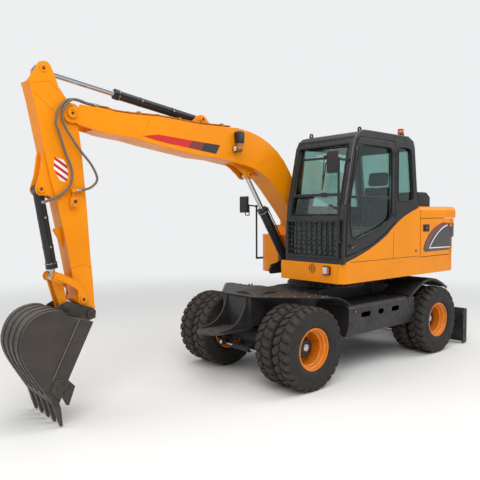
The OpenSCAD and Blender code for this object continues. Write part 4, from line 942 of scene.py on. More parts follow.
@dataclass
class Hoses:
    """Two hoses that lead from the boom's pipes over the arm's joint."""

    radius: float = 11.0
    # Route to the arm's valve block, then route to the bucket cylinder
    routes: tuple[tuple[Point, ...], ...] = (
        (
            (3084, -98, 2806), (3160, -96, 2813), (3221, -90, 2826), (3290, -74, 2826), (3338, -58, 2796),
            (3371, -54, 2760), (3397, -54, 2700), (3398, -54, 2628), (3360, -56, 2545), (3243, -62, 2384),
            (3132, -68, 2257), (3077, -72, 2135), (3130, -76, 2062), (3216, -80, 2030), (3270, -86, 2022),
        ),
        (
            (3084, -120, 2806), (3160, -118, 2814), (3240, -112, 2830), (3330, -92, 2820), (3400, -68, 2762),
            (3443, -60, 2700), (3457, -60, 2640), (3455, -62, 2588), (3423, -68, 2508), (3372, -76, 2357),
            (3318, -78, 2221), (3316, -80, 2116), (3354, -84, 2040), (3432, -86, 1975), (3500, -88, 1944),
            (3537, -98, 1928), (3556, -118, 1919), (3557, -139.9, 1918),
        ),
    )
    # How far the boom's ferrule sits back round the pipe's end
    sleeve_back: float = 34.0
    # Between these heights a hose passes from the boom to the arm
    blend_from: float = 2800.0
    blend_to: float = 2380.0

    def build(self) -> None:
        """Builds each hose with a crimped ferrule at both ends."""
        for number, route in enumerate(self.routes, 1):
            ends = [
                self._ferrule(f"hose_ferrule_{number}_boom", Body.BOOM, self._behind(route), route[1]),
                self._ferrule(f"hose_ferrule_{number}_arm", Body.DIPPER, route[-1], route[-2]),
            ]
            tube = Piece(f"arm_hose_{number}", Body.BOOM, "hose_rubber")
            tube.tube(smooth_path(route, 6), self.radius, HOSE_SLEEVE, 14)
            hose = tube.made()
            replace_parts(hose, "arm_hoses")
            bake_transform(hose)

    def _behind(self, route: Sequence[Point]) -> Vector:
        """Finds the place of the boom's ferrule, most of which sits round the pipe's end.

        Args:
            route: the hose's route.

        Returns:
            Middle of the ferrule's foot.
        """
        start, after = Vector(route[0]), Vector(route[1])
        return start - (after - start).normalized() * self.sleeve_back

    @staticmethod
    def _ferrule(name: str, body: Body, at: Point, towards: Point) -> bpy.types.Object:
        """Builds the crimped sleeve and the nut on one end of a hose.

        Args:
            name: name of the piece.
            body: body that it rides on.
            at: middle of its foot.
            towards: next point of the hose.

        Returns:
            The finished piece.
        """
        axis = Vector(towards) - Vector(at)
        piece = Piece(name, body, "dark_steel")
        piece.lathe([(0, -3), (15, -3), (16, -1), (16, 11), (14, 13), (0, 13)], at, axis, ZINC_STEEL, 6)
        crimp = [(0, 12), (13, 12)]
        for ring in range(4):
            crimp += [(13.4, 15 + ring * 7), (13.4, 19 + ring * 7), (12.6, 20.5 + ring * 7)]
        piece.lathe(crimp + [(0, 44)], at, axis, ZINC_STEEL, 20)
        return piece.done()


@dataclass
class Wheels:
    """The four twin wheels: tyres with chunky blocks in two rows, rims, hubs and nuts."""

    axle_x: float = 1200.0
    axle_z: float = 430.0
    inner_y: float = 545.0
    outer_y: float = 800.0
    disc_y: float = 672.5
    tread_r: float = 430.0
    blocks: int = 27
    # Half section of a tyre as (distance from its middle, radius)
    section: tuple[Point, ...] = (
        (77.7, 206.3), (77.7, 223), (88, 229), (101, 246), (108, 275),
        (110, 298), (107.5, 304), (111, 311), (111, 318), (107, 324), (108, 345),
        (106.5, 372), (103, 390), (95, 404), (80, 411), (40, 413), (0, 413),
    )
    # One tread block by rows: distance from the middle, its two edges round the tyre, top and foot radius
    block: tuple[tuple[float, ...], ...] = (
        (10, -20, 30, 430, 408), (30, -38, 36, 430, 408), (50, -44, 22, 430, 408), (56, -56, 20, 430, 406),
        (82, -58, 8, 427, 402), (97, -60, 4, 420, 394), (107.5, -61, 0, 398, 384),
    )
    # Wheel nuts and hub bolts: how many, and radius of their circle
    nuts: int = 10
    nut_r: float = 121.0
    hub_bolts: int = 8
    hub_bolt_r: float = 74.0

    def build(self) -> None:
        """Builds the tyres and the rim of each wheel."""
        corners = [
            ("fl", Body.FRONT_LEFT, 1, Side.LEFT), ("fr", Body.FRONT_RIGHT, 1, Side.RIGHT),
            ("rl", Body.REAR_LEFT, -1, Side.LEFT), ("rr", Body.REAR_RIGHT, -1, Side.RIGHT),
        ]
        for code, body, end, side in corners:
            self._tyres(code, body, end, side)
            self._rim(code, body, end, side)

    def _tyres(self, code: str, body: Body, end: int, side: Side) -> None:
        """Builds both tyres of a twin wheel.

        Args:
            code: two letters that name the wheel.
            body: its body.
            end: 1 in front, -1 at the rear.
            side: its side.
        """
        piece = Piece(f"tyre_pair_{code}", body, "tyre_rubber")
        profile = [(r, a) for a, r in self.section] + [(r, -a) for a, r in self.section[-2::-1]]
        for middle in (self.inner_y, self.outer_y):
            centre = Vector((end * self.axle_x, side * middle, self.axle_z))
            piece.lathe(profile, centre, (0, side, 0), TYRE_RUBBER, 96, closed=True)
            for row in (1, -1):
                for i in range(self.blocks):
                    turn = 2 * math.pi * (i + (0.5 if row < 0 else 0)) / self.blocks
                    self._tread_block(piece, centre, row, turn)
        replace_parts(piece.done(0.75), f"tyres_{code}")

    def _tread_block(self, piece: Piece, centre: Vector, row: int, turn: float) -> None:
        """Adds one block, bent round the tyre.

        Args:
            piece: piece that gets the block.
            centre: middle of the tyre.
            row: 1 for the row at the larger y, -1 for the other.
            turn: place round the tyre, in radians.
        """
        part = bmesh.new()
        levels = []
        for away, left, right, top, foot in self.block:
            level = []
            for radius in (top, foot):
                for round_by in (left, (left + right) / 2, right):
                    angle = turn + round_by / self.tread_r
                    level.append(part.verts.new(
                        centre + Vector((radius * math.cos(angle), row * away, radius * math.sin(angle)))
                    ))
            levels.append(level)
        for near, far in zip(levels, levels[1:]):
            for i, j in ((0, 1), (1, 2), (2, 5), (5, 4), (4, 3), (3, 0)):
                part.faces.new((near[i], near[j], far[j], far[i]))
        for level in (levels[0], levels[-1]):
            part.faces.new((level[0], level[1], level[2], level[5], level[4], level[3]))
        bmesh.ops.recalc_face_normals(part, faces=part.faces)
        piece.bevel(part, 3.5, 2, 0.6)
        piece.add(part, TREAD_RUBBER)

    def _rim(self, code: str, body: Body, end: int, side: Side) -> None:
        """Builds the twin rim with its disc, the hub, its cap and the wheel nuts.

        Args:
            code: two letters that name the wheel.
            body: its body.
            end: 1 in front, -1 at the rear.
            side: its side.
        """
        piece = Piece(f"rim_{code}", body, "orange_paint")
        foot = (end * self.axle_x, 0, self.axle_z)
        axis = (0, side, 0)
        d = self.disc_y
        outer, inner = self.outer_y, self.inner_y
        face = [(213, 88), (206, 85), (203, 76), (200, 62), (187, 55), (184, 50), (183, 24), (179, 16)]
        flange = [(206, 70), (212, 77), (221, 78), (222, 81), (221, 85), (219, 87)]
        profile = [(r, outer + a) for r, a in flange + face]
        profile += [
            (168, outer + 10), (166, d + 40), (163, d + 22),
            (156, d + 12), (135, d + 12), (135, d - 10), (174, d - 12),
        ]
        profile += [(186, d - 17), (192, d - 30)] + [(r, inner - a) for r, a in face[::-1] + flange[::-1]]
        profile += [(r, inner + a) for r, a in flange[:-1]] + [(207, inner + 86), (206, outer - 86)]
        profile += [(r, outer - a) for r, a in flange[-2::-1]]
        # The rim's enamel is darkened and reddened as painted shade of the dish
        piece.lathe(profile, foot, axis, RIM_ENAMEL_PAINTED_SHADE, 72, closed=True)
        hub = [
            (0, d + 96), (88, d + 96), (95, d + 93), (97, d + 88), (98, d + 73), (105, d + 69), (106, d + 18),
            (110, d + 13), (133, d + 12.6), (135, d + 9), (135, d - 11), (99, d - 12), (97, 560), (0, 560),
        ]
        piece.lathe(hub, foot, axis, BLACK_ENAMEL, 48)
        cap = [(0, d + 112), (28, d + 111), (38, d + 108), (42, d + 103), (42, d + 95), (0, d + 95)]
        piece.lathe(cap, foot, axis, HARD_CHROME, 32)
        for x, z in circle(self.nut_r, self.nuts, 0.5):
            piece.bolt((foot[0] + x, side * (d + 12.6), foot[2] + z), axis, 25)
        for x, z in circle(self.hub_bolt_r, self.hub_bolts):
            piece.bolt((foot[0] + x, side * (d + 96), foot[2] + z), axis, 15, BLACK_ENAMEL)
        valve = [
            (foot[0] + 150, side * (outer + 20), foot[2] + 95),
            (foot[0] + 158, side * (outer + 62), foot[2] + 100),
        ]
        piece.tube(valve, 4, ZINC_STEEL, 8)
        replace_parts(piece.done(0.7), f"wheel_{code}")


@dataclass
class Undercarriage:
    """Small things on the chassis: bolts, worn edges, the tool boxes' latches and the blade's cutting edge.
    """

    deck_z: float = 930.0
    ring_r: float = 467.5
    ring_bolts: int = 32
    # Side face of the tool boxes, their latches and the bolts below
    box_y: float = 820.0
    latches_x: Point = (450, -640)
    box_bolts_x: Point = (520, 60, -420, -700)
    # Distance between the bolts of the blade's cutting edge
    edge_pitch: int = 200

    def build(self) -> None:
        """Builds the details of the chassis and the blade."""
        self._bolts()
        self._bracket_edges()
        self._boxes()
        self._blade()

    def _bolts(self) -> None:
        """Sets the bolts of the swing bearing and along the edge of the deck plate."""
        piece = Piece("deck_bolts", Body.CHASSIS, "dark_steel")
        for x, y in circle(self.ring_r, self.ring_bolts):
            piece.bolt((x, y, self.deck_z + 20), UP, 17)
        for side in Side:
            for t in (0.06, 0.25, 0.44, 0.63, 0.82, 0.96):
                at = (930 + t * 535, side * (830 - t * 575), self.deck_z)
                piece.bolt(at, UP, 20)
            for y in (330, 480, 630, 780):
                piece.bolt((890, side * y, self.deck_z), UP, 18)
        piece.done()

    def _bracket_edges(self) -> None:
        """Lays the worn bright edges on the front bracket and round its foot."""
        piece = Piece("bracket_worn_edges", Body.CHASSIS, "dark_steel")
        a, b, c = Vector((1495, 910)), Vector((1530, 600)), Vector((1850, 587))
        line = []
        for i in range(17):
            t = i / 16
            line.append((1 - t) ** 2 * a + 2 * t * (1 - t) * b + t * t * c)
        for side in Side:
            middle = side * 165
            piece.prism(
                strip([p + Vector((0.6, 0.8)) for p in line], 2.4),
                middle - 10.4, middle + 10.4, EDGE_STEEL, 0,
            )
        rim = arc((1780, 0), 195.6, -76, 76, 28)
        piece.prism(strip(rim, 1.6), 556.5, 575.5, EDGE_STEEL, 0, axis="z")
        piece.done()

    def _boxes(self) -> None:
        """Adds the latches of the tool boxes and the bolts below them."""
        piece = Piece("tool_box_fittings", Body.CHASSIS, "black_plastic")
        for side in Side:
            y = side * self.box_y
            out = side * 3
            for x in self.latches_x:
                piece.box((x - 34, min(y, y + out), 700), (x + 34, max(y, y + out), 742), BLACK_ENAMEL, 1.4)
                piece.plug((x, y + out, 721), (0, side, 0), 9, 6, (3, 2), ZINC_STEEL, 16)
            for x in self.box_bolts_x:
                piece.bolt((x, y, 604), (0, side, 0), 15, BLACK_ENAMEL)
        piece.done()

    def _blade(self) -> None:
        """Bolts the cutting edge on the blade."""
        piece = Piece("blade_cutting_edge", Body.BLADE, "dark_steel")
        piece.prism([(-1995, 15), (-1965, 94), (-1956, 91), (-1986, 14)], -862, 862, EDGE_STEEL, 1.5)
        for y in range(-800, 801, self.edge_pitch):
            piece.plug((-1979, y, 58), (-1, 0, 0.38), 14, 4, (3, 2), EDGE_STEEL, 16)
        piece.done()


@dataclass
class UpperBody:
    """Lamps, latches, films, louvres and caps on the upper structure."""

    side_y: float = 920.0
    front_x: float = 800.0
    rear_x: float = -1550.0
    # Dark panel film on the engine door, as (x, z) on the side face
    film: tuple[Point, ...] = (
        (-769, 1368), (-786, 1417), (-815, 1464), (-849, 1504), (-892, 1545),
        (-941, 1581), (-1001, 1618), (-1071, 1649), (-1147, 1671), (-1227, 1682),
        (-1418, 1682), (-1418, 1334), (-1001, 1334), (-825, 1331), (-782, 1343),
    )
    # Middle lines of the arcs that cross it
    white_arc: tuple[Point, ...] = (
        (-1345, 1657), (-1272, 1640), (-1209, 1616),
        (-1140, 1580), (-1074, 1537), (-982, 1460), (-906, 1375),
    )
    red_arc: tuple[Point, ...] = (
        (-1300, 1671), (-1200, 1660), (-1100, 1627), (-1015, 1582), (-935, 1520), (-872, 1447), (-835, 1370)
    )

    # Louvres of the rear panel and of the intake box: how many, and the step between two
    louvres: int = 8
    louvre_z: float = 1545.0
    louvre_step: float = 32.0
    duct_louvres: int = 5
    duct_step: float = 27.0
    # Pins at the boom's foot as x, z and the radius of their caps
    foot_pins: tuple[Point, ...] = ((130, 1330, 52), (450, 1150, 42))

    def build(self) -> None:
        """Builds the details of the upper structure."""
        self._lamps()
        self._door_film()
        self._latches()
        self._rear()
        self._right_side()
        self._boom_foot()

    def _lamps(self) -> None:
        """Sets the lenses of the front lamp, the vents and the reflector on the skirt."""
        x = self.front_x
        piece = Piece("front_lamp_lenses", Body.UPPER, "window_glass")
        piece.box((x + 1, 664, 1150), (x + 26, 762, 1244), BLACK_ABS, 8, 3)
        piece.box((x + 25, 672, 1160), (x + 33, 728, 1234), LAMP_LENS, 5, 3)
        piece.box((x + 25, 732, 1160), (x + 32, 756, 1234), AMBER_LENS, 4, 3)
        piece.lathe([(0, 0), (30, 0), (30, 3), (26, 5), (0, 6)], (420, -430, 1165), AHEAD, AMBER_LENS, 32)
        piece.done()
        vents = Piece("skirt_vents", Body.UPPER, "black_plastic")
        for y, half in ((456, 26), (482, 50), (508, 56), (534, 34)):
            vents.box((x, y - 6, 1205 - half), (x + 1.5, y + 6, 1205 + half), SEAL_RUBBER, 0.6)
        for y in (150, 420, 880):
            vents.bolt((x, y, 1240), AHEAD, 15, ORANGE_ENAMEL)
        vents.done()

    def _wrapped(self, piece: Piece, z0: float, z1: float, radius: float, finish: Finish) -> None:
        """Adds film that turns round the rear left corner.

        Args:
            piece: piece that gets the film.
            z0: its lower edge.
            z1: its upper edge.
            radius: radius of the corner at this height.
            finish: its finish.
        """
        centre = (self.rear_x + radius, self.side_y - radius)
        bend = arc(centre, radius + 0.9, 90, 162, 8)
        flat = [(-1427.5, self.side_y + 0.9)]
        line = flat + bend if centre[0] < -1428 else bend
        piece.prism(strip(line, 1.0), z0, z1, finish, 0, axis="z")

    def _door_film(self) -> None:
        """Lays the dark film with its red and white arcs on the engine door and round the corner."""
        y = self.side_y
        door = Piece("engine_door_film", Body.LEFT_BAY, "orange_paint")
        door.prism(self.film, y + 0.3, y + 1.0, DARK_FILM, 0)
        for points, width, out, finish in (
            (self.red_arc, 52, 1.0, MAROON_FILM), (self.white_arc, 15, 1.3, WHITE_FILM),
        ):
            line = [p.xy for p in smooth_path([(*p, 0) for p in points], 4)]
            door.prism(strip(line, width), y + out, y + out + 0.3, finish, 0)
        door.prism(
            [(-906, 1383), (-1418, 1377), (-1418, 1366), (-896, 1369)], y + 1.3, y + 1.6, WHITE_FILM, 0
        )
        door.prism(
            [(-880, 1358), (-1418, 1356), (-1418, 1345), (-870, 1348)], y + 1.3, y + 1.6, MAROON_FILM, 0
        )
        door.done()
        tail = Piece("tail_corner_film", Body.UPPER, "orange_paint")
        self._wrapped(tail, 1334, 1500, 120, DARK_FILM)
        self._wrapped(tail, 1500, 1682, 60, DARK_FILM)
        tail.done()

    def _latches(self) -> None:
        """Sets the paddle latches of the engine doors and the lock of the side panel."""
        for side, body in ((Side.LEFT, Body.LEFT_BAY), (Side.RIGHT, Body.RIGHT_BAY)):
            y = side * self.side_y
            latch = Piece(f"door_latch_{side.name.lower()}", body, "black_plastic")
            top = -760 if side == Side.LEFT else -800
            bottom = 1585 if side == Side.LEFT else 1330
            self._plate(latch, (top - 140, bottom), (top, bottom + 88), y, side, 5, BLACK_ABS, 5)
            self._plate(
                latch, (top - 120, bottom + 20), (top - 20, bottom + 68),
                y + side * 5, side, 3, SEAL_RUBBER, 2,
            )
            latch.plug((top - 70, y + side * 7, bottom + 44), (0, side, 0), 12, 6, (3, 2), ZINC_STEEL, 20)
            latch.done()
        seams = Piece("side_panel_seams", Body.UPPER, "black_plastic")
        for low, high in (((-676, 1286), (668, 1291)), ((-132, 1291), (-127, 1604))):
            seams.box(
                (low[0], self.side_y - 1, low[1]), (high[0], self.side_y + 0.6, high[1]), SEAL_RUBBER, 0
            )
        for x, z in ((640, 1240), (-260, 1240), (-1380, 1240)):
            seams.bolt((x, self.side_y, z), LEFTWARD, 14, ORANGE_ENAMEL)
        seams.done()
        lock = Piece("side_panel_lock", Body.UPPER, "black_plastic")
        lock.plug((-605, self.side_y, 1357), LEFTWARD, 15, 6, (4, 3), BLACK_ABS, 20)
        lock.lathe([(0, 6), (6, 6), (6, 8), (0, 8)], (-605, self.side_y, 1357), LEFTWARD, ZINC_STEEL, 12)
        lock.done()

    @staticmethod
    def _plate(
        piece: Piece, low: Point, high: Point, y: float,
        side: Side, out: float, finish: Finish, bevel: float,
    ) -> None:
        """Adds a flat block that stands out from a side face.

        Args:
            piece: piece that gets the block.
            low: lowest corner on the face, as (x, z).
            high: highest corner on the face.
            y: the face.
            side: side that the face looks to.
            out: how far the block stands out.
            finish: its finish.
            bevel: radius of its edges, at most.
        """
        ends = sorted((y, y + side * out))
        piece.box((low[0], ends[0], low[1]), (high[0], ends[1], high[1]), finish, min(bevel, out * 0.45), 3)

    def _rear(self) -> None:
        """Sets the tail lamps, the louvres of the rear panel and of the intake box, and the hood's grip."""
        piece = Piece("tail_lamps", Body.UPPER, "window_glass")
        for side in Side:
            y = side * 660
            piece.box((self.rear_x - 3, y - 78, 1395), (self.rear_x + 4, y + 78, 1455), BLACK_ABS, 2)
            piece.box((self.rear_x - 6, y - 70, 1401), (self.rear_x - 2, y + 8, 1449), RED_LENS, 1.5)
            piece.box((self.rear_x - 6, y + 12, 1401), (self.rear_x - 2, y + 70, 1449), AMBER_LENS, 1.5)
        piece.done()
        hood = Piece("hood_louvres", Body.HOOD, "black_plastic")
        for i in range(self.louvres):
            z = self.louvre_z + i * self.louvre_step
            hood.box((self.rear_x - 2.5, -420, z), (self.rear_x + 1, 420, z + 14), BLACK_ABS, 1.2)
        hood.tube(
            [(-1480, -70, 1896), (-1480, -70, 1925), (-1480, 70, 1925), (-1480, 70, 1896)],
            8, BLACK_ENAMEL, 12,
        )
        hood.done()
        duct = Piece("intake_louvres", Body.HOOD, "black_plastic")
        low, high = (Vector(corner) / MM + Vector((FRAME_X, 0, 0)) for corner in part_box("intake_box"))
        for i in range(self.duct_louvres):
            z = low.z + 30 + i * self.duct_step
            duct.box((high.x - 190, high.y, z), (high.x - 20, high.y + 3, z + 13), BLACK_ABS, 1.2)
        duct.box((low.x + 100, low.y + 20, high.z - 1), (high.x - 20, high.y - 20, high.z + 4), BLACK_ABS, 2)
        duct.done()

    def _right_side(self) -> None:
        """Sets the fuel filler, the step grips and two bolts on the right body."""
        piece = Piece("filler_cap", Body.UPPER, "black_plastic")
        piece.lathe(
            [(0, 0), (58, 0), (58, 10), (52, 14), (52, 30), (48, 36), (0, 38)],
            (-420, -640, 1870), UP, BLACK_ABS, 28,
        )
        for i in range(5):
            piece.box((20 + i * 42, -760, 1660), (44 + i * 42, -560, 1664), SEAL_RUBBER, 1.5)
        piece.bolt((300, -640, 1540), UP, 16)
        piece.bolt((300, -540, 1540), UP, 16)
        piece.done()

    def _boom_foot(self) -> None:
        """Caps the pins at the boom's foot."""
        piece = Piece("foot_pin_caps", Body.UPPER, "dark_steel")
        for side in Side:
            for x, z, r in self.foot_pins:
                y = BOOM_Y + side * 184
                piece.plug((x, y, z), (0, side, 0), r, 9, (5, 3), BLACK_ENAMEL, 32)
                piece.bolt((x, y + side * 9, z), (0, side, 0), 24)
        piece.done()


def rounded(outline: Sequence[Point], radius: float, steps: int = 4) -> list[list[Vector]]:
    """Rounds the corners of an outline.

    Args:
        outline: corners of a closed polygon.
        radius: how far from each corner its curve begins.
        steps: stretches of each curve.

    Returns:
        For each corner the points of its curve.
    """
    # A curve takes up at most this share of a side
    most = 0.45
    corners = [Vector(p) for p in outline]
    found = []
    for i, corner in enumerate(corners):
        before, after = corners[i - 1] - corner, corners[(i + 1) % len(corners)] - corner
        a = corner + before.normalized() * min(radius, before.length * most)
        b = corner + after.normalized() * min(radius, after.length * most)
        found.append([
            a.lerp(corner, k / steps).lerp(corner.lerp(b, k / steps), k / steps) for k in range(steps + 1)
        ])
    return found


@dataclass
class Cab:
    """Seals, wiper, handle, mirrors and the inside of the cab."""

    side_y: float = 918.0
    inner_y: float = 140.0
    outer_y: float = 853.0
    seat_y: float = 500.0
    # Opening of the door's window, as (x, z) on the side face
    door_window: tuple[Point, ...] = (
        (670, 1995), (535, 2440), (498, 2565), (-95, 2565),
        (-95, 1760), (80, 1668), (560, 1530), (655, 1560), (680, 1800),
    )
    quarter_window: tuple[Point, ...] = ((-215, 1960), (-215, 2585), (-478, 2585), (-548, 1960))
    # Cushions: grain of their mesh and a coarser grain, and how far the cloth may swell, in metres
    voxel: float = 0.006
    quick_voxel: float = 0.015
    swell_cap: float = 0.018
    swell_frames: int = 20
    # Sewn channels: depth and half width in mm, and their place as a share of the half cushion
    channel: Point = (6.0, 5.0, 0.52)

    def build(self) -> None:
        """Builds the details of the cab."""
        self._seals()
        self._screen()
        self._door()
        self._mirrors()
        self._controls()
        self._roof()
        self._seat()

    def _seals(self) -> None:
        """Lays the rubber seals round the windows of the shell."""
        piece = Piece("window_seals", Body.UPPER, "black_plastic")
        edge = [(772, 1800), (760, 1900), (640, 2450), (617, 2560)]
        near = [(x + 1, self.inner_y + 4, z) for x, z in edge]
        far = [(x + 1, self.outer_y - 4, z) for x, z in edge[::-1]]
        piece.tube(near + far, 9, SEAL_RUBBER, 10, loop=True)
        self._rounded_frame(piece, self.quarter_window, 70)
        low = [
            (790, self.inner_y + 4, 1339), (790, self.inner_y + 4, 1736),
            (790, self.outer_y - 4, 1736), (790, self.outer_y - 4, 1339),
        ]
        piece.tube(low, 8, SEAL_RUBBER, 10, loop=True)
        piece.done()

    def _rounded_frame(self, piece: Piece, outline: Sequence[Point], radius: float) -> None:
        """Fills the corners of a side window and lays its seal along the rounded opening.

        Args:
            piece: piece that gets the parts.
            outline: the window's opening as (x, z).
            radius: how far from a corner its curve begins.
        """
        y = self.side_y
        curves = rounded(outline, radius)
        for corner, curve in zip(outline, curves):
            piece.prism([tuple(corner)] + [tuple(p) for p in curve], y - 24, y - 0.5, BLACK_ENAMEL, 0)
        piece.tube([(p.x, y + 1, p.y) for curve in curves for p in curve], 8, SEAL_RUBBER, 10, loop=True)

    def _screen(self) -> None:
        """Sets the lower rail of the windscreen with its catch, and the wiper."""
        rail = Piece("screen_rail", Body.UPPER, "black_plastic")
        rail.prism(
            [(726, 2000), (744, 1998), (737, 2030), (719, 2032)],
            self.inner_y + 8, self.outer_y - 8, BLACK_ENAMEL, 2,
        )
        rail.box((716, 570, 1990), (748, 640, 2040), BLACK_ABS, 4)
        rail.tube([(628, 200, 2432), (628, 600, 2428)], 11, BLACK_ENAMEL, 12)
        rail.tube([(628, 594, 2428), (628, 604, 2428)], 12, ZINC_STEEL, 12)
        rail.done()
        wiper = Piece("wiper", Body.UPPER, "black_plastic")
        wiper.plug((655, 560, 2440), (1, 0, 0.2), 17, 22, (7, 6), BLACK_ABS, 24)
        wiper.tube([(674, 560, 2444), (706, 574, 2300), (735, 588, 2170)], 5, BLACK_ENAMEL, 8)
        wiper.tube([(682, 590, 2380), (716, 588, 2230), (750, 590, 2070)], 4, BLACK_ENAMEL, 8)
        wiper.tube([(676, 590, 2380), (744, 590, 2070)], 5, SEAL_RUBBER, 6)
        wiper.done()

    def _door(self) -> None:
        """Lays the door's seals and the rail between its panes, and sets the handle."""
        y = self.side_y
        piece = Piece("door_fittings", Body.CAB_DOOR, "black_plastic")
        self._rounded_frame(piece, self.door_window, 80)
        piece.box((560, y, 2484), (596, y + 9, 2524), BLACK_ABS, 4, 3)
        piece.box((-93, y - 40, 1975), (672, y - 1, 2003), BLACK_ENAMEL, 3)
        piece.box((590, y, 1436), (690, y + 5, 1490), BLACK_ABS, 2.2)
        handle = [(604, 3), (606, 26), (616, 32), (668, 32), (678, 26), (680, 3)]
        piece.tube([(x, y + out, 1463) for x, out in handle], 7, BLACK_ABS, 12)
        piece.lathe([(0, 0), (11, 0), (11, 5), (0, 5)], (640, y + 5, 1448), LEFTWARD, ZINC_STEEL, 20)
        piece.done()

    def _mirrors(self) -> None:
        """Sets the glass, the rims and the guard loops of the mirrors."""
        piece = Piece("mirror_fittings", Body.UPPER, "black_plastic")
        piece.box((864.8, 792, 2247), (866.4, 908, 2448), MIRROR_GLASS, 0.5)
        piece.box((561.8, -964, 1842), (563.4, -836, 2033), MIRROR_GLASS, 0.5)
        for x, low, high, z0, z1 in ((880, 784, 916, 2240, 2455), (577, -974, -826, 1834, 2041)):
            piece.box((x + 12, low, z0), (x + 21, high, z1), BLACK_ABS, 8, 4)
            piece.box((x + 19, low + 16, z0 + 22), (x + 24, high - 16, z1 - 22), BLACK_ABS, 4, 3)
        loop = [
            (577, -880, 1832), (577, -880, 1806), (577, -868, 1796), (577, -816, 1796),
            (577, -806, 1806), (577, -806, 1905), (566, -812, 1926),
        ]
        piece.tube(smooth_path(loop, 3), 6.5, BLACK_ENAMEL, 10)
        piece.lathe([(0, -12), (19, -12), (19, 12), (0, 12)], (565, -892, 1934), UP, BLACK_ABS, 20)
        piece.lathe([(0, 0), (18, 0), (18, 30), (0, 30)], (452, -800, 1900), UP, BLACK_ABS, 20)
        piece.done()

    def _controls(self) -> None:
        """Sets grips and bellows on the levers, the armrests, the monitor and the steering boss."""
        piece = Piece("cab_controls", Body.UPPER, "black_plastic")
        for side in Side:
            y = self.seat_y + side * 265
            bellows = [(0, 0)]
            for ring in range(5):
                bellows += [
                    (46 - ring * 5, ring * 11), (50 - ring * 5, ring * 11 + 5),
                    (40 - ring * 5, ring * 11 + 10),
                ]
            piece.lathe(bellows + [(0, 56)], (170, y, 1640), UP, SEAL_RUBBER, 24)
            grip = [
                (0, 0), (20, 0), (23, 12), (21, 26), (25, 44),
                (23, 62), (28, 84), (32, 104), (27, 120), (0, 126),
            ]
            piece.lathe(grip, (170, y, 1800), (0.08, 0, 1), BLACK_ABS, 24)
            piece.box((-290, y - 48, 1641), (60, y + 48, 1672), SEAT_VINYL, 14, 4)
            for i in range(4):
                piece.lathe([(0, 0), (9, 0), (9, 7), (0, 8)], (95, y - 34 + i * 22, 1640), UP, GREY_ABS, 14)
        tilt = Matrix.Translation((590, 215, 1960)) @ Matrix.Rotation(-0.25, 4, "Y")
        tilt = tilt @ Matrix.Rotation(0.25, 4, "Z")
        piece.box((-22, -88, -62), (16, 88, 62), BLACK_ABS, 8, 3, tilt)
        piece.box((-24, -74, -48), (-21.5, 74, 48), SCREEN_GLASS, 1, 1, tilt)
        piece.tube([(600, 215, 1900), (640, 190, 1800), (690, 160, 1700)], 9, BLACK_ENAMEL, 10)
        piece.lathe(
            [(0, -14), (46, -14), (50, 0), (40, 14), (0, 20)],
            (329, self.seat_y, 1832), (-0.21, 0, 0.98), BLACK_ABS, 32,
        )
        piece.done()

    def _roof(self) -> None:
        """Lays the rain gutter round the roof and sets the beacon's lens and the headrest."""
        piece = Piece("roof_gutter", Body.UPPER, "black_paint")
        side = [
            (-425, 2713), (0, 2714), (430, 2713), (508, 2692),
            (576, 2640), (618, 2566), (700, 2190), (764, 1904),
        ]
        # The gutter's enamel is lightened to grey as a painted highlight
        curve = smooth_path([(x, self.side_y + 1, z) for x, z in side], 4)
        piece.tube(curve, 7, GUTTER_ENAMEL_PAINTED_HIGHLIGHT, 10)
        front = [(582, 900, 2644), (584, 860, 2648), (584, 130, 2648), (582, 90, 2644)]
        piece.tube(front, 6, GUTTER_ENAMEL_PAINTED_HIGHLIGHT, 10)
        piece.done()
        beacon = Piece("beacon_lens", Body.UPPER, "window_glass")
        beacon.lathe(
            [(0, 2776), (37, 2776), (37.5, 2790), (34, 2822), (26, 2828), (0, 2829)],
            (-470, 780, 0), UP, AMBER_LENS, 32,
        )
        beacon.done()
        rest = Piece("headrest", Body.UPPER, "seat_fabric")
        turn = Matrix.Translation((-398, self.seat_y, 2150)) @ Matrix.Rotation(math.radians(-10), 4, "Y")
        for y in (-60, 60):
            rest.tube([turn @ Vector((0, y, -10)), turn @ Vector((0, y, 70))], 6, HARD_CHROME, 12)
        rest.box((-40, -130, 2), (40, 130, 168), SEAT_CLOTH, 38, 6, turn)
        rest.done(1.2)

    def _seat(self) -> None:
        """Builds the two cushions of the seat as stuffed cloth with sewn channels."""
        base = self._pad("seat_cushion", (-314, 311, 1486), (174, 689, 1584), Matrix.Identity(4))
        # The back leans to the rear by 10 degrees
        lean = Matrix.Translation((-300, self.seat_y, 1594)) @ Matrix.Rotation(math.radians(-10), 4, "Y")
        back = self._pad("seat_back", (-54, -179, 6), (44, 179, 554), lean)
        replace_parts(base, "seat_cushions")
        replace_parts(back, "seat_cushions")

    def _pad(self, name: str, low: Point, high: Point, turn: Matrix) -> bpy.types.Object:
        """Builds a cushion, swells it by a cloth simulation and sews two channels into it.

        Args:
            name: name of the piece.
            low: lowest corner of its foam in its own frame.
            high: highest corner.
            turn: place of that frame.

        Returns:
            The finished piece.
        """
        piece = Piece(name, Body.UPPER, "seat_fabric")
        piece.box(low, high, SEAT_CLOTH, 34, 5, turn)
        pad = piece.done(1.2)
        remesh = pad.modifiers.new("even_mesh", "REMESH")
        remesh.mode = "VOXEL"
        remesh.voxel_size = self.voxel
        self._take_shape(pad)
        self._swell(pad)
        self._sew(pad, (low[1] + high[1]) / 2, (high[1] - low[1]) / 2, turn)
        pad.data.polygons.foreach_set("use_smooth", [True] * len(pad.data.polygons))
        return pad

    @staticmethod
    def _take_shape(pad: bpy.types.Object) -> None:
        """Applies the modifiers of a pad to its mesh.

        Args:
            pad: the cushion.
        """
        graph = bpy.context.evaluated_depsgraph_get()
        shaped = bpy.data.meshes.new_from_object(pad.evaluated_get(graph))
        pad.modifiers.clear()
        materials = list(pad.data.materials)
        pad.data = shaped
        pad.data.materials.clear()
        for material in materials:
            pad.data.materials.append(material)

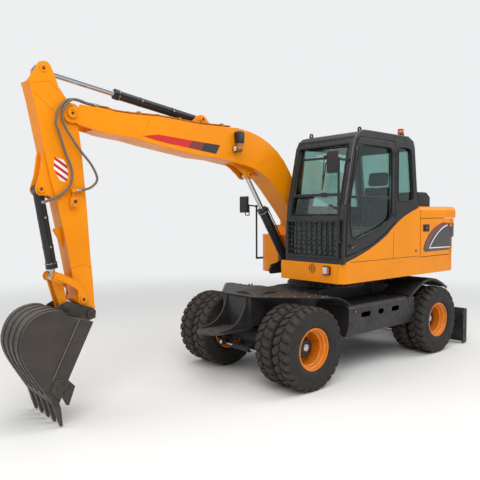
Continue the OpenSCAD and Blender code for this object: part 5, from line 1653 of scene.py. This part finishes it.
    def _swell(self, pad: bpy.types.Object) -> None:
        """Swells a pad by pressure, and moves no point further than the cap.

        Args:
            pad: the cushion.
        """
        rest = [v.co.copy() for v in pad.data.vertices]
        cloth = pad.modifiers.new("swell", "CLOTH")
        cloth.settings.use_pressure = True
        cloth.settings.uniform_pressure_force = 4.0
        cloth.settings.effector_weights.gravity = 0.0
        cloth.point_cache.frame_start = 1
        cloth.point_cache.frame_end = self.swell_frames
        scene = bpy.context.scene
        for frame in range(1, self.swell_frames + 1):
            scene.frame_set(frame)
        self._take_shape(pad)
        scene.frame_set(1)
        for vert, before in zip(pad.data.vertices, rest):
            move = vert.co - before
            if move.length > self.swell_cap:
                vert.co = before + move.normalized() * self.swell_cap

    def _sew(self, pad: bpy.types.Object, middle: float, half: float, turn: Matrix) -> None:
        """Presses two lengthwise channels into a pad.

        Args:
            pad: the cushion.
            middle: y of its middle in its own frame.
            half: half its width.
            turn: place of that frame.
        """
        depth, half_width, share = self.channel
        back = turn.inverted()
        for vert in pad.data.vertices:
            place = back @ (vert.co / MM + Vector((FRAME_X, 0, 0)))
            across = abs(place.y - middle)
            dent = depth * math.exp(-(((across - half * share) / half_width) ** 2))
            centre = Vector((place.x, middle, place.z))
            vert.co -= (turn.to_3x3() @ (place - centre)).normalized() * dent * 0.15 * MM
            vert.co -= vert.normal * dent * MM


@dataclass
class Cylinders:
    """Glands, ports and steel lines on the three cylinders of the working equipment."""

    # Name, body, base pin, rod eye, gland's distance from the base, barrel radius, side of the line
    table: tuple[tuple, ...] = (
        ("lift", Body.LIFT_BARREL, (450, 1150), (1165, 2262), 860.0, 55.0, 0.5),
        ("crowd", Body.CROWD_BARREL, (1840, 2810), (3536, 3062), 1001.0, 44.0, 1.0),
        ("curl", Body.CURL_BARREL, (3575, 2030), (3450, 1258), 705.0, 46.0, 1.0),
    )
    # Ports: distance of the lower one from the base pin, and of the upper one back from the gland
    port_up: float = 100.0
    port_back: float = 26.0
    # The steel line runs this far outside the barrel, held by clamps at these shares of the length
    line_off: float = 13.0
    clamps: Point = (0.35, 0.72)

    def build(self) -> None:
        """Builds the fittings of each cylinder."""
        for name, body, base, eye, gland, radius, lean in self.table:
            foot, head = (Vector((x, BOOM_Y, z)) for x, z in (base, eye))
            self._fittings(name, body, foot, head, gland, radius, lean)

    def _fittings(
        self, name: str, body: Body, base: Vector, eye: Vector, gland: float, radius: float, lean: float
    ) -> None:
        """Builds the gland's rings, two ports, and the line with its clamps between them.

        Args:
            name: name of the cylinder.
            body: body of its barrel.
            base: its base pin.
            eye: pin of the rod's eye.
            gland: distance of the gland from the base pin.
            radius: radius of the barrel.
            lean: 1 for a line on the left, 0 for one on top.
        """
        axis = (eye - base).normalized()
        over = Vector(LEFTWARD).cross(axis) * (1 if name == "curl" else -1)
        off = (Vector(LEFTWARD) * lean + over * (1 - lean)).normalized()
        piece = Piece(f"{name}_cylinder_fittings", body, "dark_steel")
        ring = [
            (radius - 16, -14), (radius + 4, -14), (radius + 6, -11),
            (radius + 6, -3), (radius - 2, 0.8), (radius - 16, 0.8),
        ]
        piece.lathe(ring, base + axis * gland, axis, BLACK_ENAMEL, 40)
        piece.lathe([(29, 0), (38, 0), (37, 2), (29, 3)], base + axis * gland, axis, SEAL_RUBBER, 32)
        piece.lathe(
            [(radius + 6, -4), (radius + 8, -2), (radius + 8, 2), (radius + 6, 4)],
            base + axis * (gland - 46), axis, ZINC_STEEL, 40,
        )
        line_r = radius + self.line_off
        for along in (self.port_up, gland - self.port_back):
            seat = base + axis * along + off * (radius - 4)
            piece.plug(seat, off, 15, 14, (4, 2), BLACK_ENAMEL, 6)
        start, end = base + axis * self.port_up, base + axis * (gland - self.port_back)
        path = [start + off * radius, start + off * line_r + axis * 10, start + off * line_r + axis * 40]
        path += [end + off * line_r - axis * 40, end + off * line_r - axis * 10, end + off * radius]
        piece.tube(smooth_path(path, 4), 6.5, BLACK_ENAMEL, 10)
        for share in self.clamps:
            at = base + axis * gland * share
            piece.lathe(
                [(radius, -9), (radius + 2, -9), (radius + 2, 9), (radius, 9)], at, axis, BLACK_ENAMEL, 40
            )
            piece.lathe([(0, 0), (10, 0), (10, 10), (0, 12)], at + off * (line_r - 2), off, ZINC_STEEL, 12)
        piece.done()


@dataclass
class Boom:
    """Films, weld seams, pin caps and the lamp's lens on the boom."""

    left_y: float = -60.0
    right_y: float = -340.0
    # Long flash along the side, as (x, z): red tip, deep red middle, charcoal end
    red: tuple[Point, ...] = (
        (2603, 2565), (2431, 2594), (2300, 2587), (2208, 2581),
        (2020, 2569), (2072, 2493), (2309, 2515), (2480, 2539),
    )
    middle: tuple[Point, ...] = ((2020, 2569), (1860, 2561), (1905, 2473), (2072, 2493))
    dark: tuple[Point, ...] = ((1860, 2561), (1652, 2550), (1710, 2454), (1905, 2473))

    def build(self) -> None:
        """Builds the details of the boom."""
        flash = Piece("boom_flash", Body.BOOM, "orange_paint")
        for y, out in ((self.left_y, 1), (self.right_y, -1)):
            ends = film_ends(y, out)
            for outline, finish in ((self.red, RED_FILM), (self.middle, MAROON_FILM), (self.dark, DARK_FILM)):
                flash.prism(outline, *ends, finish, 0)
        flash.done()
        seams = [[(1125, 2357), (970, 2444), (814, 2531)], [(2640, 2545), (2560, 2640), (2520, 2758)]]
        weld_seams("boom_weld_seams", Body.BOOM, (self.left_y, self.right_y), seams, 6, 3.2)
        self._pins()
        self._lamp()

    @staticmethod
    def _lamp() -> None:
        """Sets the hood of the work lamp and the small lamp's lens."""
        lamp = Piece("boom_lamp_hood", Body.BOOM, "black_plastic")
        lamp.prism(
            [(1366, 2588), (1452, 2588), (1462, 2700), (1440, 2716), (1376, 2716), (1358, 2690)],
            -59, 8, BLACK_ABS, 7, steps=3,
        )
        lamp.box((1380, 7, 2606), (1440, 11, 2696), GREY_ABS, 2)
        lamp.done()
        lens = Piece("boom_lamp_lens", Body.BOOM, "window_glass")
        lens.lathe([(0, 0), (32, 0), (32, 3), (22, 7), (0, 9)], (1479, -16, 2523), AHEAD, LAMP_LENS, 32)
        lens.lathe(
            [(31, -6), (39, -6), (39, 5), (33, 6), (31, 4)],
            (1479, -16, 2523), AHEAD, BLACK_ABS, 32, closed=True,
        )
        lens.done()

    @staticmethod
    def _pins() -> None:
        """Caps the pins of the boom and sets a grease nipple on each side of its end."""
        piece = Piece("boom_pin_caps", Body.BOOM, "dark_steel")
        for side in Side:
            pin_caps(piece, side, ((3300, 2705, 129, 46), (1840, 2810, 88, 34), (1165, 2262, 80, 36)), 20)
            nipple = [(0, 0), (7, 0), (7, 8), (0, 10)]
            piece.lathe(nipple, (3300, BOOM_Y + side * 115, 2772), (0, side, 0), ZINC_STEEL, 10)
        piece.done()


@dataclass
class Arm:
    """The hazard film, weld seams, pin caps, stop and valve of the dipper arm."""

    left_y: float = -110.0
    right_y: float = -290.0
    # Outline of the hazard film, as (x, z)
    patch: tuple[Point, ...] = (
        (3373, 2292), (3456, 2313), (3465, 2217), (3438, 2158), (3410, 2112),
        (3364, 2098), (3340, 2125), (3334, 2166), (3337, 2214), (3353, 2256),
    )
    bars: int = 7
    # A point's level across the slanted bars is its dot product with this
    slant: Point = (-0.55, 0.83)

    def build(self) -> None:
        """Builds the details of the arm."""
        self._hazard_film()
        seams = [
            [(3637, 2929), (3560, 2944), (3492, 2956), (3406, 2888)],
            [(3625, 2852), (3530, 2772), (3449, 2708)],
            [(3176, 1960), (3250, 2010), (3330, 2000), (3440, 1935)],
            [(3130, 1330), (3220, 1360), (3318, 1330)],
        ]
        weld_seams("arm_weld_seams", Body.DIPPER, (self.left_y, self.right_y), seams, 5, 3.0)
        self._pins()

    def _level(self, point: Point) -> float:
        """Returns the level of a point across the bars."""
        return self.slant[0] * point[0] + self.slant[1] * point[1]

    def _cut(self, outline: Sequence[Point], low: float, high: float) -> list[Point]:
        """Cuts one bar out of the film.

        Args:
            outline: convex outline of the film.
            low: lowest level of the bar.
            high: highest level.

        Returns:
            The outline of the bar.
        """
        found = list(outline)
        for limit, sign in ((low, 1), (high, -1)):
            kept = []
            for a, b in zip(found, found[1:] + found[:1]):
                da, db = (sign * (self._level(p) - limit) for p in (a, b))
                if da >= 0:
                    kept.append(a)
                if (da > 0) != (db > 0) and abs(da - db) > 1e-9:
                    t = da / (da - db)
                    kept.append((a[0] + t * (b[0] - a[0]), a[1] + t * (b[1] - a[1])))
            found = kept
        return found

    def _hazard_film(self) -> None:
        """Lays the red and white bars on both sides of the arm."""
        piece = Piece("arm_hazard_film", Body.DIPPER, "orange_paint")
        levels = [self._level(p) for p in self.patch]
        step = (max(levels) - min(levels)) / self.bars
        for i in range(self.bars):
            low = min(levels) + i * step
            bar = self._cut(self.patch, low, low + step)
            for y, out in ((self.left_y, 1), (self.right_y, -1)):
                piece.prism(bar, *film_ends(y, out), RED_FILM if i % 2 else WHITE_FILM, 0)
        piece.done()

    @staticmethod
    def _pins() -> None:
        """Caps the arm's pins, and sets the stop and the valve's plug."""
        piece = Piece("arm_pin_caps", Body.DIPPER, "dark_steel")
        for side in Side:
            pin_caps(piece, side, ((3238, 1050, 152, 32), (3575, 2030, 84, 34), (3536, 3062, 90, 34)), 18)
        piece.prism(
            [(3374, 1690), (3436, 1692), (3450, 1676), (3352, 1500), (3346, 1500)],
            -209, -191, ORANGE_ENAMEL, 2,
        )
        piece.plug((3293, -65, 1929), LEFTWARD, 15, 14, (6, 4), BLACK_ABS, 6)
        piece.lathe([(0, 0), (9, 0), (9, 6), (0, 7)], (3318, -65, 1900), LEFTWARD, ZINC_STEEL, 6)
        piece.done()


@dataclass
class Bucket:
    """Weld seams, bolts of the side cutters, tooth pins and pin caps of the bucket."""

    half_w: float = 318.0
    teeth: int = 5
    # Upper face and tip of a tooth, as (x, z)
    tooth: tuple[Point, ...] = (
        (3594, 208), (3560, 214), (3542, 172), (3530, 92), (3526, 16), (3533, 11), (3560, 92), (3582, 170),
    )
    # Seam along a side plate, and bolts of a side cutter, as (x, z)
    seam: tuple[Point, ...] = ((3352, 908), (3450, 716), (3552, 514), (3600, 416))
    cutter_bolts: tuple[Point, ...] = ((3452, 345), (3500, 300), (3560, 350), (3500, 380))
    # Pins as x, z, radius of the cap and its distance from the middle plane
    pins: tuple[Point, ...] = ((3160, 905, 40, 129), (3385, 985, 34, 117))

    def build(self) -> None:
        """Builds the details of the bucket."""
        piece = Piece("bucket_wear_parts", Body.BUCKET, "bucket_steel")
        for side in Side:
            y = BOOM_Y + side * (self.half_w - 6)
            piece.tube([(x, y, z) for x, z in self.seam], 5, WELD_BEAD, 8)
            outer = BOOM_Y + side * (self.half_w + 12)
            for x, z in self.cutter_bolts:
                piece.bolt((x, outer, z), (0, side, 0), 24, EDGE_STEEL)
            for x, z, r, out in self.pins:
                at = (x, BOOM_Y + side * out, z)
                piece.plug(at, (0, side, 0), r, 6, (4, 2), BUCKET_STEEL, 32)
                piece.bolt((x, at[1] + side * 6, z), (0, side, 0), 18, BLACK_ENAMEL)
        for i in range(self.teeth):
            y = BOOM_Y - self.half_w + 34 + i * (2 * self.half_w - 68) / (self.teeth - 1)
            piece.tube([(3572, y - 29, 222), (3572, y + 29, 222)], 9, EDGE_STEEL, 12)
            piece.prism(self.tooth, y - 28.5, y + 28.5, EDGE_STEEL, 3)
        piece.done()


@dataclass
class CadFinishes:
    """Finishes of the CAD nodes that stay in view."""

    nodes: dict[str, bpy.types.Object]
    groups: dict[Finish, str] = field(default_factory=lambda: {
        CHASSIS_PAINT:
            "chassis_frame front_bracket front_fenders rear_fenders tool_boxes dozer_blade upper_frame",
        CASTING: "swing_bearing front_axle rear_axle drive_line knuckle_left knuckle_right",
        HARD_CHROME: "steer_rod blade_rod boom_rod arm_rod bucket_rod",
        TYRE_RUBBER: "tyres_fl tyres_fr tyres_rl tyres_rr",
        # Rims take the enamel darkened as painted shade of the dish
        RIM_ENAMEL_PAINTED_SHADE: "wheel_fl wheel_fr wheel_rl wheel_rr",
        BLACK_ENAMEL:
            "blade_barrel cab_shell cab_door window_guard rails_mirrors boom_barrel arm_barrel "
            "bucket_barrel",
        ORANGE_ENAMEL:
            "skirt side_panel counterweight engine_hood left_door right_door right_body boom arm rocker "
            "bucket_link",
        ENGINE_IRON: "engine_block",
        BLACK_ABS: "intake_box work_lamps",
        CAB_GLASS: "cab_glass door_glass",
        GREY_ABS: "cab_interior",
        SEAT_CLOTH: "seat_cushions",
        # Pipe paint darkened to brown as painted shade
        PIPE_PAINT_WITH_PAINTED_SHADE: "boom_pipes",
        BUCKET_STEEL: "bucket",
        HOSE_SLEEVE: "arm_hoses",
    })

    def dress(self) -> None:
        """Gives each node its finish, and shades it smooth where its faces are round."""
        for finish, names in self.groups.items():
            for name in names.split():
                mesh = self.nodes[name].data
                mesh.materials.clear()
                mesh.materials.append(finish.material())
                mesh.polygons.foreach_set("use_smooth", [True] * len(mesh.polygons))
                mesh.set_sharp_from_angle(angle=0.5)


def main() -> None:
    """Builds the looks round the frame, one sub-assembly after the other."""
    logging.basicConfig(level=logging.INFO, format="%(name)s: %(message)s")
    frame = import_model()
    Studio().build()
    Hoses().build()
    CadFinishes(frame["nodes"]).dress()
    for assembly in (Wheels(), Undercarriage(), UpperBody(), Cab(), Cylinders(), Boom(), Arm(), Bucket()):
        assembly.build()


if __name__ == "__main__":
    main()
